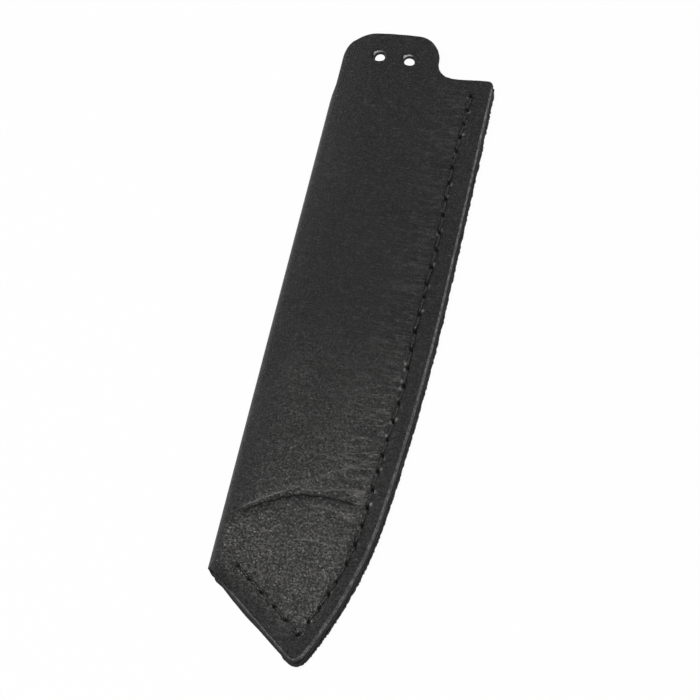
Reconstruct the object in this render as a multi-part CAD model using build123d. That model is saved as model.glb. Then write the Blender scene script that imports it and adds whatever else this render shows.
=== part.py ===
"""Leather blade guard for a broad kitchen knife, in millimetres.

One piece of leather is folded along the knife's spine side. Its two panels are closed along the cutting-edge
side and the slanted tip by a saddle-stitched seam, with a welt strip between them. The front panel runs on past
the mouth as a rounded tab with two lace holes.

The guard lies on its back panel: +Z is out of the front panel, +Y towards the mouth, +X towards the stitched
edge. The origin is at the centre of the footprint, on the back panel's face.
"""

import os
from math import asin, atan2, cos, degrees, pi, radians, sin, sqrt, tan

from build123d import *

# Leather
leather_thickness = 1.8
welt_thickness = 1.6

# Plan outline: x is 0 at the fold's outer side, y is 0 near the lowest point of the tip
sheath_width = 49.0
mouth_height = 193.0
belly_start_height = 119.0
belly_long_radius = 760.0
belly_long_sweep = 5.5
belly_short_radius = 128.0
tip_cut_height = 23.5
tip_cut_angle = 38.8
tip_radius = 3.0
mouth_corner_radius = 2.5

# Lacing tab, a run of the front panel above the mouth
tab_rise = 12.3
tab_inset = 1.4
tab_width = 29.6
tab_corner_radius = 8.2
tab_root_radius = 3.9
lace_hole_diameter = 4.0
lace_hole_spacing = 9.4
lace_hole_side_distance = 11.4
lace_hole_above_mouth = 3.8

# Fold and pocket
fold_outer_radius = 3.6
fold_end_drop = 12.0
fold_end_radius = 1.2
back_corner_radius = 9.0
front_rise_angle = 15.5
pinch_reach = 26.0
fold_round_reach = 4.8

# Seam and welt
seam_margin_mouth = 5.8
seam_margin_tip = 4.6
tip_seam_margin = 5.9
seam_top_drop = 6.4
edge_stitch_count = 33
tip_stitch_count = 5
slot_slant = 25.0
thread_diameter = 0.9
thread_clearance = 0.05
strand_clearance = 0.15
front_groove_depth = 0.5
back_groove_depth = 1.0
welt_width = 8.6
seat_width = 6.6
welt_inset = 0.25
welt_corner_radius = 4.0
welt_fold_gap = 1.2
layer_gap = 0.04

# Sides of the thread, and how far cutters run past the leather
thread_sides = 5
overrun = 4.0

# Places across the open width where the front panel's rise is laid out, the count of sections below the straight
# part of the edge, and the reach each side over which the panel's slope is taken
across_shares = (0.03, 0.06, 0.1, 0.16, 0.24, 0.34, 0.46, 0.6, 0.74, 0.87, 0.95)
section_count = 12
slope_step = 0.05

stitched_thickness = 2 * leather_thickness + welt_thickness + layer_gap
split_height = leather_thickness + welt_thickness / 2
full_height = mouth_height + tab_rise
seat_start_x = 2 * fold_outer_radius
rise = radians(front_rise_angle)
rise_start_x = fold_outer_radius * (1 - sin(rise))
rise_start_z = fold_outer_radius * (1 + cos(rise))
thread_radius = thread_diameter / 2
strand_offset = (thread_diameter + strand_clearance) / 2
slot_length = 2 * (strand_offset + thread_radius + thread_clearance)
slot_width = thread_diameter + 2 * thread_clearance
groove_width = slot_width + 2 * strand_offset * sin(radians(slot_slant))

# Edge and seam lines

straight_length = mouth_height - belly_start_height
long_length = belly_long_radius * radians(belly_long_sweep)
long_centre = Vector(sheath_width - belly_long_radius, belly_start_height)
short_centre = long_centre + (belly_long_radius - belly_short_radius) * Vector(
    cos(radians(belly_long_sweep)), -sin(radians(belly_long_sweep))
)


def edge_point(distance):
    """Point on the stitched edge and its outward normal, at a distance along it down from the mouth line."""
    if distance <= straight_length:
        return Vector(sheath_width, mouth_height - distance), Vector(1, 0)
    beyond = distance - straight_length
    if beyond <= long_length:
        centre, radius, turned = long_centre, belly_long_radius, beyond / belly_long_radius
    else:
        centre, radius = short_centre, belly_short_radius
        turned = radians(belly_long_sweep) + (beyond - long_length) / belly_short_radius
    normal = Vector(cos(turned), -sin(turned))
    return centre + normal * radius, normal


def edge_x(y):
    """Where the stitched edge lies across the guard at height y."""
    if y >= belly_start_height:
        return sheath_width
    if y >= belly_start_height - belly_long_radius * sin(radians(belly_long_sweep)):
        centre, radius = long_centre, belly_long_radius
    else:
        centre, radius = short_centre, belly_short_radius
    return centre.X + sqrt(radius**2 - (centre.Y - y) ** 2)


def tip_line_y(x, inset=0.0):
    """Height of the slanted tip cut at x, or of the line that lies inset from it on the pocket's side."""
    return tip_cut_height - tan(radians(tip_cut_angle)) * x + inset / cos(radians(tip_cut_angle))


def corner_distance(margin, inset):
    """Distance along the edge where the line a margin inside it meets the line an inset inside the tip cut."""
    slant = radians(tip_cut_angle)
    radius = belly_short_radius - margin
    reach = inset - (short_centre.Y - tip_line_y(short_centre.X)) * cos(slant)
    turned = slant - asin(reach / radius)
    return straight_length + long_length + (turned - radians(belly_long_sweep)) * belly_short_radius


tip_distance = corner_distance(0.0, 0.0)
seam_corner_distance = corner_distance(seam_margin_tip, tip_seam_margin)
stitch_pitch = (seam_corner_distance - seam_top_drop) / edge_stitch_count
along_tip = Vector(-cos(radians(tip_cut_angle)), sin(radians(tip_cut_angle)))


def seam_holes():
    """Awl slots as (centre, seam direction), down the edge, round the corner and up the tip cut to the fold."""
    holes = []
    for index in range(edge_stitch_count + 1):
        share = index / edge_stitch_count
        margin = seam_margin_mouth + (seam_margin_tip - seam_margin_mouth) * share
        point, normal = edge_point(seam_top_drop + stitch_pitch * index)
        holes.append((point - normal * margin, Vector(normal.Y, -normal.X)))
    corner, down_edge = holes[-1]
    holes[-1] = (corner, (down_edge + along_tip).normalized())
    for index in range(tip_stitch_count):
        holes.append((corner + along_tip * stitch_pitch * (index + 1), along_tip))
    return holes


holes = seam_holes()

# Leather shell


def pinch(x, y):
    """How far the front panel is free of the tip seam at a place: 0 on it and past it, 1 out of its reach."""
    share = (y - tip_line_y(x, tip_seam_margin)) * cos(radians(tip_cut_angle)) / pinch_reach
    beyond_fold = min(max((x - rise_start_x) / fold_round_reach, 0.0), 1.0)
    share = min(max(share, 0.0), 1.0)
    return 1 - (1 - share**2 * (3 - 2 * share)) * beyond_fold**2 * (3 - 2 * beyond_fold)


def front_height(x, y):
    """Height of the front panel's outer face: off the fold at the rise angle, level where it meets the welt."""
    span = edge_x(y) - seat_width - rise_start_x
    share = min(max((x - rise_start_x) / span, 0.0), 1.0)
    above_welt = rise_start_z - stitched_thickness
    free = above_welt * (1 - share) ** 2 * (1 + 2 * share) + span * tan(rise) * share * (1 - share) ** 2
    return stitched_thickness + free * pinch(x, y)


def front_normal(x, y):
    """Outward normal of the front panel's outer face, seen across the guard."""
    slope = (front_height(x + slope_step, y) - front_height(x - slope_step, y)) / (2 * slope_step)
    return Vector(-slope, 0, 1).normalized()


def fold_section(y):
    """Closed section of the fold at height y, from the flat back panel round to where the front panel starts."""
    radius, inner_radius = fold_outer_radius, fold_outer_radius - leather_thickness
    centre = Vector(radius, y, radius)
    start_side = Vector(-sin(rise), 0, cos(rise))
    start, inner_start = centre + start_side * radius, centre + start_side * inner_radius
    loop = [
        ThreePointArc((radius, y, 0), (0, y, radius), start),
        Line(start, inner_start),
        ThreePointArc(inner_start, (leather_thickness, y, radius), (radius, y, leather_thickness)),
        Line((radius, y, leather_thickness), (radius, y, 0)),
    ]
    return Face(Wire(loop))


def panel_section(y):
    """Closed section of the front panel at height y, of even thickness, from the fold to past the edge."""
    start = Vector(rise_start_x, y, rise_start_z)
    outer, inner = [start], [start - Vector(-sin(rise), 0, cos(rise)) * leather_thickness]
    seat_x = edge_x(y) - seat_width
    for share in across_shares:
        x = rise_start_x + (seat_x - rise_start_x) * share
        outer.append(Vector(x, y, front_height(x, y)))
        inner.append(outer[-1] - front_normal(x, y) * leather_thickness)
    up = Vector(0, 0, leather_thickness)
    seat, rim = Vector(seat_x, y, stitched_thickness), Vector(sheath_width + overrun, y, stitched_thickness)
    outer.append(seat)
    inner.append(seat - up)
    loop = [
        Spline(*outer),
        Line(seat, rim),
        Line(rim, rim - up),
        Line(rim - up, seat - up),
        Spline(*reversed(inner)),
        Line(inner[0], start),
    ]
    return Face(Wire(loop))


def prism(plan, low, high):
    """Upright solid over a plan face, between two heights."""
    return Pos(0, 0, low) * extrude(plan, high - low, dir=(0, 0, 1))


def panel_outline(has_tab):
    """Plan face of a panel, run out past the fold's side, with or without the lacing tab."""
    fold_end = mouth_height - fold_end_drop
    tip_point = edge_point(tip_distance)[0]
    long_end = edge_point(straight_length + long_length)[0]
    belly_start = Vector(sheath_width, belly_start_height)
    mouth_corner = Vector(sheath_width, mouth_height)
    relief = Vector(tab_inset, fold_end)
    corners = [(mouth_corner, mouth_corner_radius), (tip_point, tip_radius), (relief, fold_end_radius)]
    if has_tab:
        tab_side = tab_inset + tab_width
        top = [Vector(tab_inset, full_height), Vector(tab_side, full_height)]
        root = Vector(tab_side, mouth_height)
        corners += [(corner, tab_corner_radius) for corner in top] + [(root, tab_root_radius)]
        top.append(root)
    else:
        top = [Vector(tab_inset, mouth_height)]
        corners.append((top[0], back_corner_radius))
    rim = Polyline(
        tip_point,
        (-overrun, tip_line_y(-overrun)),
        (-overrun, fold_end),
        relief,
        *top,
        mouth_corner,
        belly_start,
    )
    belly = [
        RadiusArc(belly_start, long_end, belly_long_radius),
        RadiusArc(long_end, tip_point, belly_short_radius),
    ]
    face = Face(Wire(rim.edges() + belly))
    for place, radius in corners:
        corner = face.vertices().sort_by_distance(place)[0]
        face = fillet(corner, radius)
    return face


def pocket_plan(width):
    """Plan face of what lies further than a width inside the stitched edge and the tip cut, open to the fold."""
    top_y = 2 * full_height
    inner_x = sheath_width - width
    corner, normal = edge_point(corner_distance(width, width))
    corner = corner - normal * width
    long_end, normal = edge_point(straight_length + long_length)
    long_end = long_end - normal * width
    lines = [
        Line((inner_x, top_y), (inner_x, belly_start_height)),
        RadiusArc((inner_x, belly_start_height), long_end, belly_long_radius - width),
        RadiusArc(long_end, corner, belly_short_radius - width),
        Polyline(corner, (-overrun, tip_line_y(-overrun, width)), (-overrun, top_y), (inner_x, top_y)),
    ]
    plan = Face(Wire([edge for line in lines for edge in line.edges()]))
    return fillet(plan.vertices().sort_by_distance(corner)[0], welt_corner_radius)


def slot_direction(along):
    """Unit vector along an awl slot, turned off the seam by the slant."""
    return along.rotate(Axis.Z, slot_slant)


def slot_cuts():
    """Upright cutters for the slanted awl slots, through every layer."""
    height = stitched_thickness + 2 * overrun
    cuts = []
    for centre, along in holes:
        slot = slot_direction(along)
        turn = degrees(atan2(slot.Y, slot.X))
        place = Pos(centre.X, centre.Y, stitched_thickness / 2) * Rot(0, 0, turn)
        cuts.append(place * Box(slot_length, slot_width, height))
    return cuts


def groove_face():
    """Plan face of the groove that the runs of the stitches lie in."""
    left, right = [], []
    for index, (centre, along) in enumerate(holes):
        side = Vector(-along.Y, along.X) * groove_width / 2
        if index == edge_stitch_count:
            side = side / side.normalized().dot(Vector(-along_tip.Y, along_tip.X))
        if index == 0:
            centre = centre - along * slot_length
        if index == len(holes) - 1:
            centre = centre + along * slot_length
        left.append(centre + side)
        right.append(centre - side)
    return make_face(Polyline(*left, *reversed(right), close=True))


def folded_leather():
    """Front panel, fold and back panel of one leather, cut to the outline, with slots, grooves and lace holes."""
    low, high = edge_point(tip_distance)[0].Y - overrun, full_height + overrun
    spacing = (belly_start_height - low) / section_count
    panel = loft([panel_section(low + spacing * index) for index in range(section_count + 1)])
    panel += extrude(panel_section(belly_start_height), high - belly_start_height, dir=(0, 1, 0))
    fold = extrude(fold_section(low), high - low, dir=(0, 1, 0))
    back = Box(
        sheath_width + overrun - fold_outer_radius,
        high - low,
        leather_thickness,
        align=(Align.MIN, Align.MIN, Align.MIN),
    )
    shell = fold + Pos(fold_outer_radius, low, 0) * back + panel
    fold_side = Rectangle(full_height, 4 * full_height, align=(Align.MAX, Align.CENTER))
    seat = panel_outline(True) - pocket_plan(welt_width) - Pos(seat_start_x, 0) * fold_side
    free = panel_outline(True) - seat
    leather = shell & prism(free, split_height, 4 * fold_outer_radius)
    leather += prism(seat, stitched_thickness - leather_thickness, stitched_thickness)
    leather += shell & prism(panel_outline(False), -overrun, split_height)
    leather -= prism(groove_face(), stitched_thickness - front_groove_depth, stitched_thickness + overrun)
    leather -= prism(groove_face(), -overrun, back_groove_depth)
    leather -= slot_cuts()
    lace_y = mouth_height + lace_hole_above_mouth
    for index in range(2):
        lace_x = tab_inset + lace_hole_side_distance + lace_hole_spacing * index
        leather -= Pos(lace_x, lace_y, 0) * Cylinder(lace_hole_diameter / 2, 2 * full_height)
    return leather


# Welt


def edge_welt():
    """Strip between the panels round the stitched edge and the tip, with the slots through it."""
    fold_side = Rectangle(full_height, 4 * full_height, align=(Align.MAX, Align.CENTER))
    plan = offset(panel_outline(False), -welt_inset) - pocket_plan(welt_width)
    plan -= Pos(fold_outer_radius + welt_fold_gap, 0) * fold_side
    return prism(plan, leather_thickness, leather_thickness + welt_thickness) - slot_cuts()


# Thread


def strand_point(index, side, front):
    """Where a strand passes a slot: ahead or behind along the slot, at the front or the back run's height."""
    centre, along = holes[index]
    place = centre + slot_direction(along) * strand_offset * side
    if front:
        height = stitched_thickness - front_groove_depth + thread_clearance + thread_radius
    else:
        height = back_groove_depth - thread_clearance - thread_radius
    return Vector(place.X, place.Y, height)


def strand(first_is_front):
    """Corner points of one half of the thread, which changes sides at every slot, from the mouth to the fold."""
    points = []
    front = first_is_front
    for index in range(len(holes) - 1):
        points.append(strand_point(index, 1 if front else -1, front))
        points.append(strand_point(index + 1, -1 if front else 1, front))
        front = not front
    end = points[-1]
    points.append(Vector(end.X, end.Y, stitched_thickness / 2))
    return points


def chamfered(points):
    """The same path with every corner taken off at one thread radius."""
    path = [points[0]]
    for before, corner, after in zip(points, points[1:], points[2:]):
        path.append(corner + (before - corner).normalized() * thread_radius)
        path.append(corner + (after - corner).normalized() * thread_radius)
    path.append(points[-1])
    return path


def faceted_tube(path, radius):
    """Tube of flat sides along straight runs, mitred at each point so that its sides run on without a twist."""
    runs = [(after - before).normalized() for before, after in zip(path, path[1:])]
    across = Plane(path[0], z_dir=runs[0]).x_dir
    rings = []
    for index, point in enumerate(path):
        run = runs[max(index - 1, 0)]
        onward = runs[min(index, len(runs) - 1)]
        mitre = (run + onward).normalized()
        upright = run.cross(across)
        ring = []
        for side in range(thread_sides):
            angle = 2 * pi * side / thread_sides
            spoke = (across * cos(angle) + upright * sin(angle)) * radius
            ring.append(point + spoke - run * (spoke.dot(mitre) / run.dot(mitre)))
        rings.append(ring)
        turn_axis = run.cross(onward)
        if turn_axis.length > 0:
            across = across.rotate(Axis((0, 0, 0), turn_axis), run.get_angle(onward))
    faces = [Face(Wire.make_polygon(rings[0])), Face(Wire.make_polygon(rings[-1]))]
    for near, far in zip(rings, rings[1:]):
        for side in range(thread_sides):
            beside = (side + 1) % thread_sides
            faces.append(Face(Wire.make_polygon([near[side], near[beside], far[beside], far[side]])))
    return Solid(Shell(faces))


def saddle_thread():
    """One thread, its middle in the slot nearest the mouth and its halves on opposite sides at every stitch."""
    halves = list(reversed(strand(False))) + strand(True)
    path = chamfered(halves)
    length = sum((after - before).length for before, after in zip(path, path[1:]))
    print("thread length", round(length), "mm")
    return faceted_tube(path, thread_radius)


# Assembly, moved so that the origin is under the middle of the footprint

pieces = {
    "folded_leather": folded_leather(),
    "edge_welt": edge_welt(),
    "saddle_thread": saddle_thread(),
}
footprint = pieces["folded_leather"].bounding_box().center()
os.makedirs("parts", exist_ok=True)
for name, piece in pieces.items():
    piece = Pos(-footprint.X, -footprint.Y, 0) * piece
    piece.label = name
    export_step(piece, f"parts/{name}.step")
    print(name, "solids", len(piece.solids()), "volume", round(piece.volume, 1))
print("footprint centre", round(footprint.X, 3), round(footprint.Y, 3))
print("stitch pitch", round(stitch_pitch, 3))
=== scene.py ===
"""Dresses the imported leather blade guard: its hide, welt and thread, a pale studio and a camera.

Plan sizes are in millimetres, with x from the fold's outer side towards the stitched edge and y from near
the tip towards the mouth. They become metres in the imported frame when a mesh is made.
"""

import logging
from collections.abc import Mapping, Sequence
from dataclasses import dataclass, field
from enum import Enum
from functools import cached_property
from typing import Any

import bpy
import numpy as np
from mathutils import Matrix, Vector


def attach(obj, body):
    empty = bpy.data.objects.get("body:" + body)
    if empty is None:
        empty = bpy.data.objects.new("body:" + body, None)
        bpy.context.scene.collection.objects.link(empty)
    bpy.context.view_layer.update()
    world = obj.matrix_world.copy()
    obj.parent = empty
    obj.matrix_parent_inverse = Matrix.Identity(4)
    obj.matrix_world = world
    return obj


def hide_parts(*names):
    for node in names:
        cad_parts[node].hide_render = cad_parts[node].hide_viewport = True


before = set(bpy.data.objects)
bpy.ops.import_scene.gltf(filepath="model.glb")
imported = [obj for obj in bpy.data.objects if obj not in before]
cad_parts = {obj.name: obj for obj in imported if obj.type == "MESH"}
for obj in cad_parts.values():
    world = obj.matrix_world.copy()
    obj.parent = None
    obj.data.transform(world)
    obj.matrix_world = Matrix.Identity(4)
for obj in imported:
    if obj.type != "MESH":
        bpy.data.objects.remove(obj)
LOG = logging.getLogger("blade_guard")
Array = np.ndarray
Pair = tuple[float, float]
MM = 0.001
ROW_SAMPLES = 4000
HALVINGS = 44
PIECES_PER_SPOT = 4
LINE_WIDTH = 0.5
STROKE_END = 2 * MM
UNLIKE_ANY_RUN = (0.31, 0.17, 0.93)


class Slot(Enum):
    """The record's material slots."""

    LEATHER = "leather"
    WELT = "welt_leather"
    THREAD = "thread"


class Side(Enum):
    """A face of the guard, as the sign of its outward direction."""

    FRONT = 1
    BACK = -1


def smooth(share: Array) -> Array:
    """Ease a share from 0 to 1, level at both ends.

    Args:
        share: Shares, also below 0 or above 1.

    Returns:
        Three times the square less twice the cube of the share, kept within 0 and 1.
    """
    kept = np.clip(share, 0.0, 1.0)
    return kept * kept * (3.0 - 2.0 * kept)


def fade(value: Array, start: float, length: float) -> Array:
    """Ease from 1 down to 0: one less the eased share of the way from a start over a length.

    Args:
        value: Places.
        start: Place up to which the result is 1.
        length: Length after which it is 0.

    Returns:
        Shares, 1 to 0.
    """
    return 1 - smooth((value - start) / length)


def bell(distance: Array, width: float) -> Array:
    """Bell curve of height 1: e to the power of minus the squared ratio of distance to width.

    Args:
        distance: Distances from the middle.
        width: Distance at which the curve has fallen to 1 / e.

    Returns:
        The curve's heights.
    """
    return np.exp(-((distance / width) ** 2))


def unit(vectors: Array) -> Array:
    """Scale vectors to length 1.

    Args:
        vectors: Vectors along the last axis.

    Returns:
        Vectors of the same directions and length 1.
    """
    return vectors / np.maximum(np.linalg.norm(vectors, axis=-1, keepdims=True), 1e-12)


def lattice(seed: int, shape: tuple[int, int], period: Pair, size: Pair) -> Array:
    """Smooth random heights for a grid, from a coarse table of random numbers blended between its points.

    Args:
        seed: Seed of the random table.
        shape: Rows and columns of the grid.
        period: Distance between the table's points along rows and columns.
        size: Length of the grid along rows and columns, in the same unit.

    Returns:
        Heights between -1 and 1.
    """
    spots = [np.linspace(0.0, size[axis] / period[axis], shape[axis]) for axis in (0, 1)]
    table = np.random.default_rng(seed).uniform(-1, 1, (int(spots[0][-1]) + 3, int(spots[1][-1]) + 3))
    low = [spot.astype(int) for spot in spots]
    part = [smooth(spot - first) for spot, first in zip(spots, low)]
    near = table[low[0]] * (1 - part[0])[:, None] + table[low[0] + 1] * part[0][:, None]
    return near[:, low[1]] * (1 - part[1]) + near[:, low[1] + 1] * part[1]


@dataclass(frozen=True)
class GuardPlan:
    """Sizes and curves that the hide, the welt and the thread share."""

    width: float = 49.0
    mouth: float = 193.0
    top: float = 205.3
    leather: float = 1.8
    welt: float = 1.6
    layer_gap: float = 0.04
    belly_start: float = 119.0
    long_radius: float = 760.0
    long_sweep: float = np.radians(5.5)
    short_radius: float = 128.0
    tip_height: float = 23.5
    tip_angle: float = np.radians(38.8)
    tip_radius: float = 3.6
    mouth_radius: float = 1.5
    tab_inset: float = 0.95
    tab_width: float = 30.15
    tab_radii: Pair = (9.0, 7.5)
    tab_tilt: float = 0.08
    root_radius: float = 5.0
    mouth_tilt: float = 0.5
    hole_radius: float = 2.0
    hole_places: tuple[Pair, ...] = ((12.8, 196.8), (22.2, 196.8))
    fold_radius: float = 3.6
    fold_end: float = 181.0
    fold_side: float = 0.2
    relief_length: float = 6.0
    back_radius: float = 9.0
    rise: float = np.radians(15.5)
    pinch_reach: float = 26.0
    fold_reach: float = 4.8
    fold_reach_gain: float = 14.0
    tip_margin: float = 5.9
    seam_top: float = 6.4
    edge_stitches: int = 33
    tip_stitches: int = 5
    stray: tuple[Pair, ...] = (
        (0, -0.9), (2, -2.1), (4, -3.1), (8, -2.8), (10, -1.8), (12, -1.1), (13, -2.4), (16, -1.1),
        (18, -0.3), (21, 0.8), (23, 0.0), (26, 0.7), (28, 2.1), (29, 2.7), (30, 1.5), (32, 0.4), (33, -0.6),
    )
    wander: tuple[Pair, ...] = (
        (0, 5.9), (3, 6.4), (5, 6.6), (7, 6.4), (10, 5.6), (12, 6.1), (15, 6.2), (18, 5.25), (22, 5.4),
        (25, 4.85), (27, 4.25), (28, 4.2), (31, 4.6), (33, 5.0),
    )
    slot_slant: float = np.radians(25.0)
    seat_width: float = 6.6
    centre_x: float = 24.5
    centre_y: float = 102.694
    level_at: float = 112.0
    parallel_depth: float = 9.0

    @property
    def stack(self) -> float:
        """Thickness of the stitched edge."""
        return 2 * self.leather + self.welt + self.layer_gap

    @property
    def start_x(self) -> float:
        """Where the front panel leaves the fold."""
        return self.fold_radius * (1 - np.sin(self.rise))

    @property
    def start_z(self) -> float:
        """Height at which the front panel leaves the fold."""
        return self.fold_radius * (1 + np.cos(self.rise))

    @property
    def straight(self) -> float:
        """Length of the edge's straight part."""
        return self.mouth - self.belly_start

    @property
    def long_length(self) -> float:
        """Length of the edge's flat curve."""
        return self.long_radius * self.long_sweep

    @property
    def long_centre(self) -> Array:
        """Centre of the edge's flat curve."""
        return np.array([self.width - self.long_radius, self.belly_start])

    @property
    def short_centre(self) -> Array:
        """Centre of the edge's tight curve."""
        turn = np.array([np.cos(self.long_sweep), -np.sin(self.long_sweep)])
        return self.long_centre + (self.long_radius - self.short_radius) * turn

    @property
    def along_tip(self) -> Array:
        """Direction of the tip cut, from the tip up to the fold."""
        return np.array([-np.cos(self.tip_angle), np.sin(self.tip_angle)])

    def edge(self, distance: Array) -> tuple[Array, Array]:
        """Points on the stitched edge: a straight run, then an arc of the long radius, then one of the short.

        Args:
            distance: Distances along the edge down from the mouth.

        Returns:
            The points, and the outward directions there.
        """
        beyond = np.asarray(distance, float) - self.straight
        far = beyond > self.long_length
        turned = np.where(
            far,
            self.long_sweep + (beyond - self.long_length) / self.short_radius,
            np.maximum(beyond, 0.0) / self.long_radius,
        )
        out = np.stack([np.cos(turned), -np.sin(turned)], -1)
        centre = np.where(far[..., None], self.short_centre, self.long_centre)
        radius = np.where(far, self.short_radius, self.long_radius)
        point = centre + out * radius[..., None]
        point[..., 1] -= np.minimum(beyond, 0.0)
        return point, out

    def edge_x(self, y: Array) -> Array:
        """Where the stitched edge lies across the guard, from the circle that holds it at height y.

        Args:
            y: Heights.

        Returns:
            Places across.
        """
        long_y = self.belly_start - self.long_radius * np.sin(self.long_sweep)
        fall = np.minimum(y - self.belly_start, 0.0)
        long_x = self.long_centre[0] + np.sqrt(self.long_radius**2 - fall**2)
        drop = np.minimum(self.short_centre[1] - y, self.short_radius)
        short_x = self.short_centre[0] + np.sqrt(self.short_radius**2 - drop**2)
        return np.where(y >= long_y, long_x, short_x)

    def corner(self, margin: float, inset: float) -> float:
        """Distance along the edge at which a line inside it meets a line inside the tip cut.

        Args:
            margin: How far the first line lies inside the edge.
            inset: How far the second line lies inside the tip cut.

        Returns:
            The distance down from the mouth.
        """
        drop = self.tip_height - np.tan(self.tip_angle) * self.short_centre[0]
        reach = inset - (self.short_centre[1] - drop) * np.cos(self.tip_angle)
        turned = self.tip_angle - np.arcsin(reach / (self.short_radius - margin))
        return float(self.straight + self.long_length + (turned - self.long_sweep) * self.short_radius)

    @cached_property
    def tip_distance(self) -> float:
        """Length of the edge from the mouth to the tip."""
        return self.corner(0.0, 0.0)

    @cached_property
    def seam_corner(self) -> float:
        """Distance along the edge of the seam's corner."""
        return self.corner(self.wander[-1][1], self.tip_margin)

    @cached_property
    def pitch(self) -> float:
        """Length of a stitch."""
        return (self.seam_corner - self.seam_top) / self.edge_stitches

    @cached_property
    def sewn(self) -> Array:
        """Distances of the slots along the edge: an even pitch, and the hand's straying from it."""
        number = np.arange(self.edge_stitches + 1)
        return self.seam_top + self.pitch * number + np.interp(number, *np.array(self.stray).T)

    def margin(self, distance: Array) -> Array:
        """How far the hand-sewn seam lies inside the edge.

        Args:
            distance: Distances along the edge.

        Returns:
            The margins, between those at numbered slots.
        """
        number = np.interp(distance, self.sewn, np.arange(self.edge_stitches + 1))
        return np.interp(number, *np.array(self.wander).T)

    @cached_property
    def holes(self) -> tuple[Array, Array]:
        """Place the awl slots, along the edge and then along the tip cut.

        Returns:
            Their centres, and the seam's direction at each.
        """
        down = self.sewn
        point, out = self.edge(down)
        centre = point - out * self.margin(down)[:, None]
        along = np.stack([out[:, 1], -out[:, 0]], -1)
        along[-1] = unit(along[-1] + self.along_tip)
        steps = np.arange(1, self.tip_stitches + 1)[:, None]
        tip = centre[-1] + self.along_tip * self.pitch * steps
        return np.vstack([centre, tip]), np.vstack([along, np.repeat(self.along_tip[None], len(tip), 0)])

    @cached_property
    def slot_lines(self) -> Array:
        """Turn the seam's direction at each awl slot by the slant.

        Returns:
            The direction of each slot.
        """
        x, y = self.holes[1].T
        cosine, sine = np.cos(self.slot_slant), np.sin(self.slot_slant)
        return np.stack([x * cosine - y * sine, x * sine + y * cosine], -1)

    def tip_gap(self, x: Array, y: Array) -> Array:
        """How far places lie inside the tip cut, square to it.

        Args:
            x: Places across.
            y: Places along.

        Returns:
            The distances.
        """
        return (y - self.tip_height + np.tan(self.tip_angle) * x) * np.cos(self.tip_angle)

    def height(self, x: Array, y: Array) -> Array:
        """Height of the front face: up off the fold, down to the welt, and pressed flat towards the tip seam.

        Args:
            x: Places across.
            y: Places along.

        Returns:
            The heights.
        """
        span = self.edge_x(y) - self.seat_width - self.start_x
        share = np.clip((x - self.start_x) / span, 0.0, 1.0)
        free = (self.start_z - self.stack) * (1 - share) ** 2 * (1 + 2 * share)
        free = free + span * np.tan(self.rise) * share * (1 - share) ** 2
        away = (self.tip_gap(x, y) - self.tip_margin) / self.pinch_reach
        reach = self.fold_reach + self.fold_reach_gain * np.clip(away, 0.0, 1.0)
        held = (1 - smooth(away)) * smooth((x - self.start_x) / reach)
        return self.stack + free * (1 - held)

    def slope(self, label: Array) -> Array:
        """Fall of the row that starts at a height on the fold: the tip cut's near the tip, none near the
        mouth.

        Args:
            label: Heights at which the rows start on the fold's side.

        Returns:
            The fall of each row per millimetre across.
        """
        low = self.tip_height + self.parallel_depth / np.cos(self.tip_angle)
        return np.tan(self.tip_angle) * fade(label, low, self.level_at - low)

    @cached_property
    def row_table(self) -> tuple[Array, Array]:
        """Find how far down the edge each row ends, by halving the range.

        Returns:
            Labels of rows, and the distances along the edge.
        """
        label = np.linspace(self.tip_height - 2.0, self.mouth + 1.0, ROW_SAMPLES)
        low, high = np.full_like(label, -3.0), np.full_like(label, self.tip_distance + 6.0)
        for _ in range(HALVINGS):
            middle = (low + high) / 2
            point, _out = self.edge(middle)
            above = point[..., 1] + self.slope(label) * point[..., 0] > label
            low, high = np.where(above, middle, low), np.where(above, high, middle)
        return label, low

    def place(self, label: Array, inside: Array) -> tuple[Array, Array, Array]:
        """Points on rows at a distance inside the stitched edge.

        Args:
            label: Labels of the rows.
            inside: Distances inside the edge, square to it.

        Returns:
            Places across and along, and distances along the edge.
        """
        table, ends = self.row_table
        distance = np.interp(label, table, ends)
        point, out = self.edge(distance)
        fall = np.arctan(self.slope(label))
        turned = np.arctan2(-out[..., 1], out[..., 0])
        x = point[..., 0] - inside * np.cos(fall) / np.cos(fall - turned)
        return x, label - self.slope(label) * x, distance

    def world(self, x: Array, y: Array, z: Array) -> Array:
        """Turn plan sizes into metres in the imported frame.

        Args:
            x: Places across.
            y: Places along.
            z: Heights.

        Returns:
            Points along the last axis.
        """
        return np.stack([(x - self.centre_x) * MM, (y - self.centre_y) * MM, z * MM], -1)


def rounded(first: Array, second: Array, radius: float) -> tuple[Array, Array]:
    """Bend the square corner of a grid into a quarter circle: each side's share of the radius is scaled by
    the root of one less half the square of the other's.

    Args:
        first: Distances from one side.
        second: Distances from the other side.
        radius: Radius of the corner.

    Returns:
        The new distances.
    """
    inside = (first < radius) & (second < radius)
    one, two = 1 - first / radius, 1 - second / radius
    new_one = one * np.sqrt(np.maximum(1 - two * two / 2, 0.0))
    new_two = two * np.sqrt(np.maximum(1 - one * one / 2, 0.0))
    return np.where(inside, radius * (1 - new_one), first), np.where(inside, radius * (1 - new_two), second)


def merge_levels(levels: Array, wanted: Sequence[float], gap: float) -> Array:
    """Put wanted levels among others, and leave out the others that come too near to them.

    Args:
        levels: Levels that may be left out.
        wanted: Levels that are kept.
        gap: Least distance between the two kinds.

    Returns:
        All levels in order.
    """
    kept = np.asarray(wanted, float)
    free = levels[np.abs(levels[:, None] - kept).min(1) > gap]
    return np.sort(np.concatenate([free, kept]))


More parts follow.
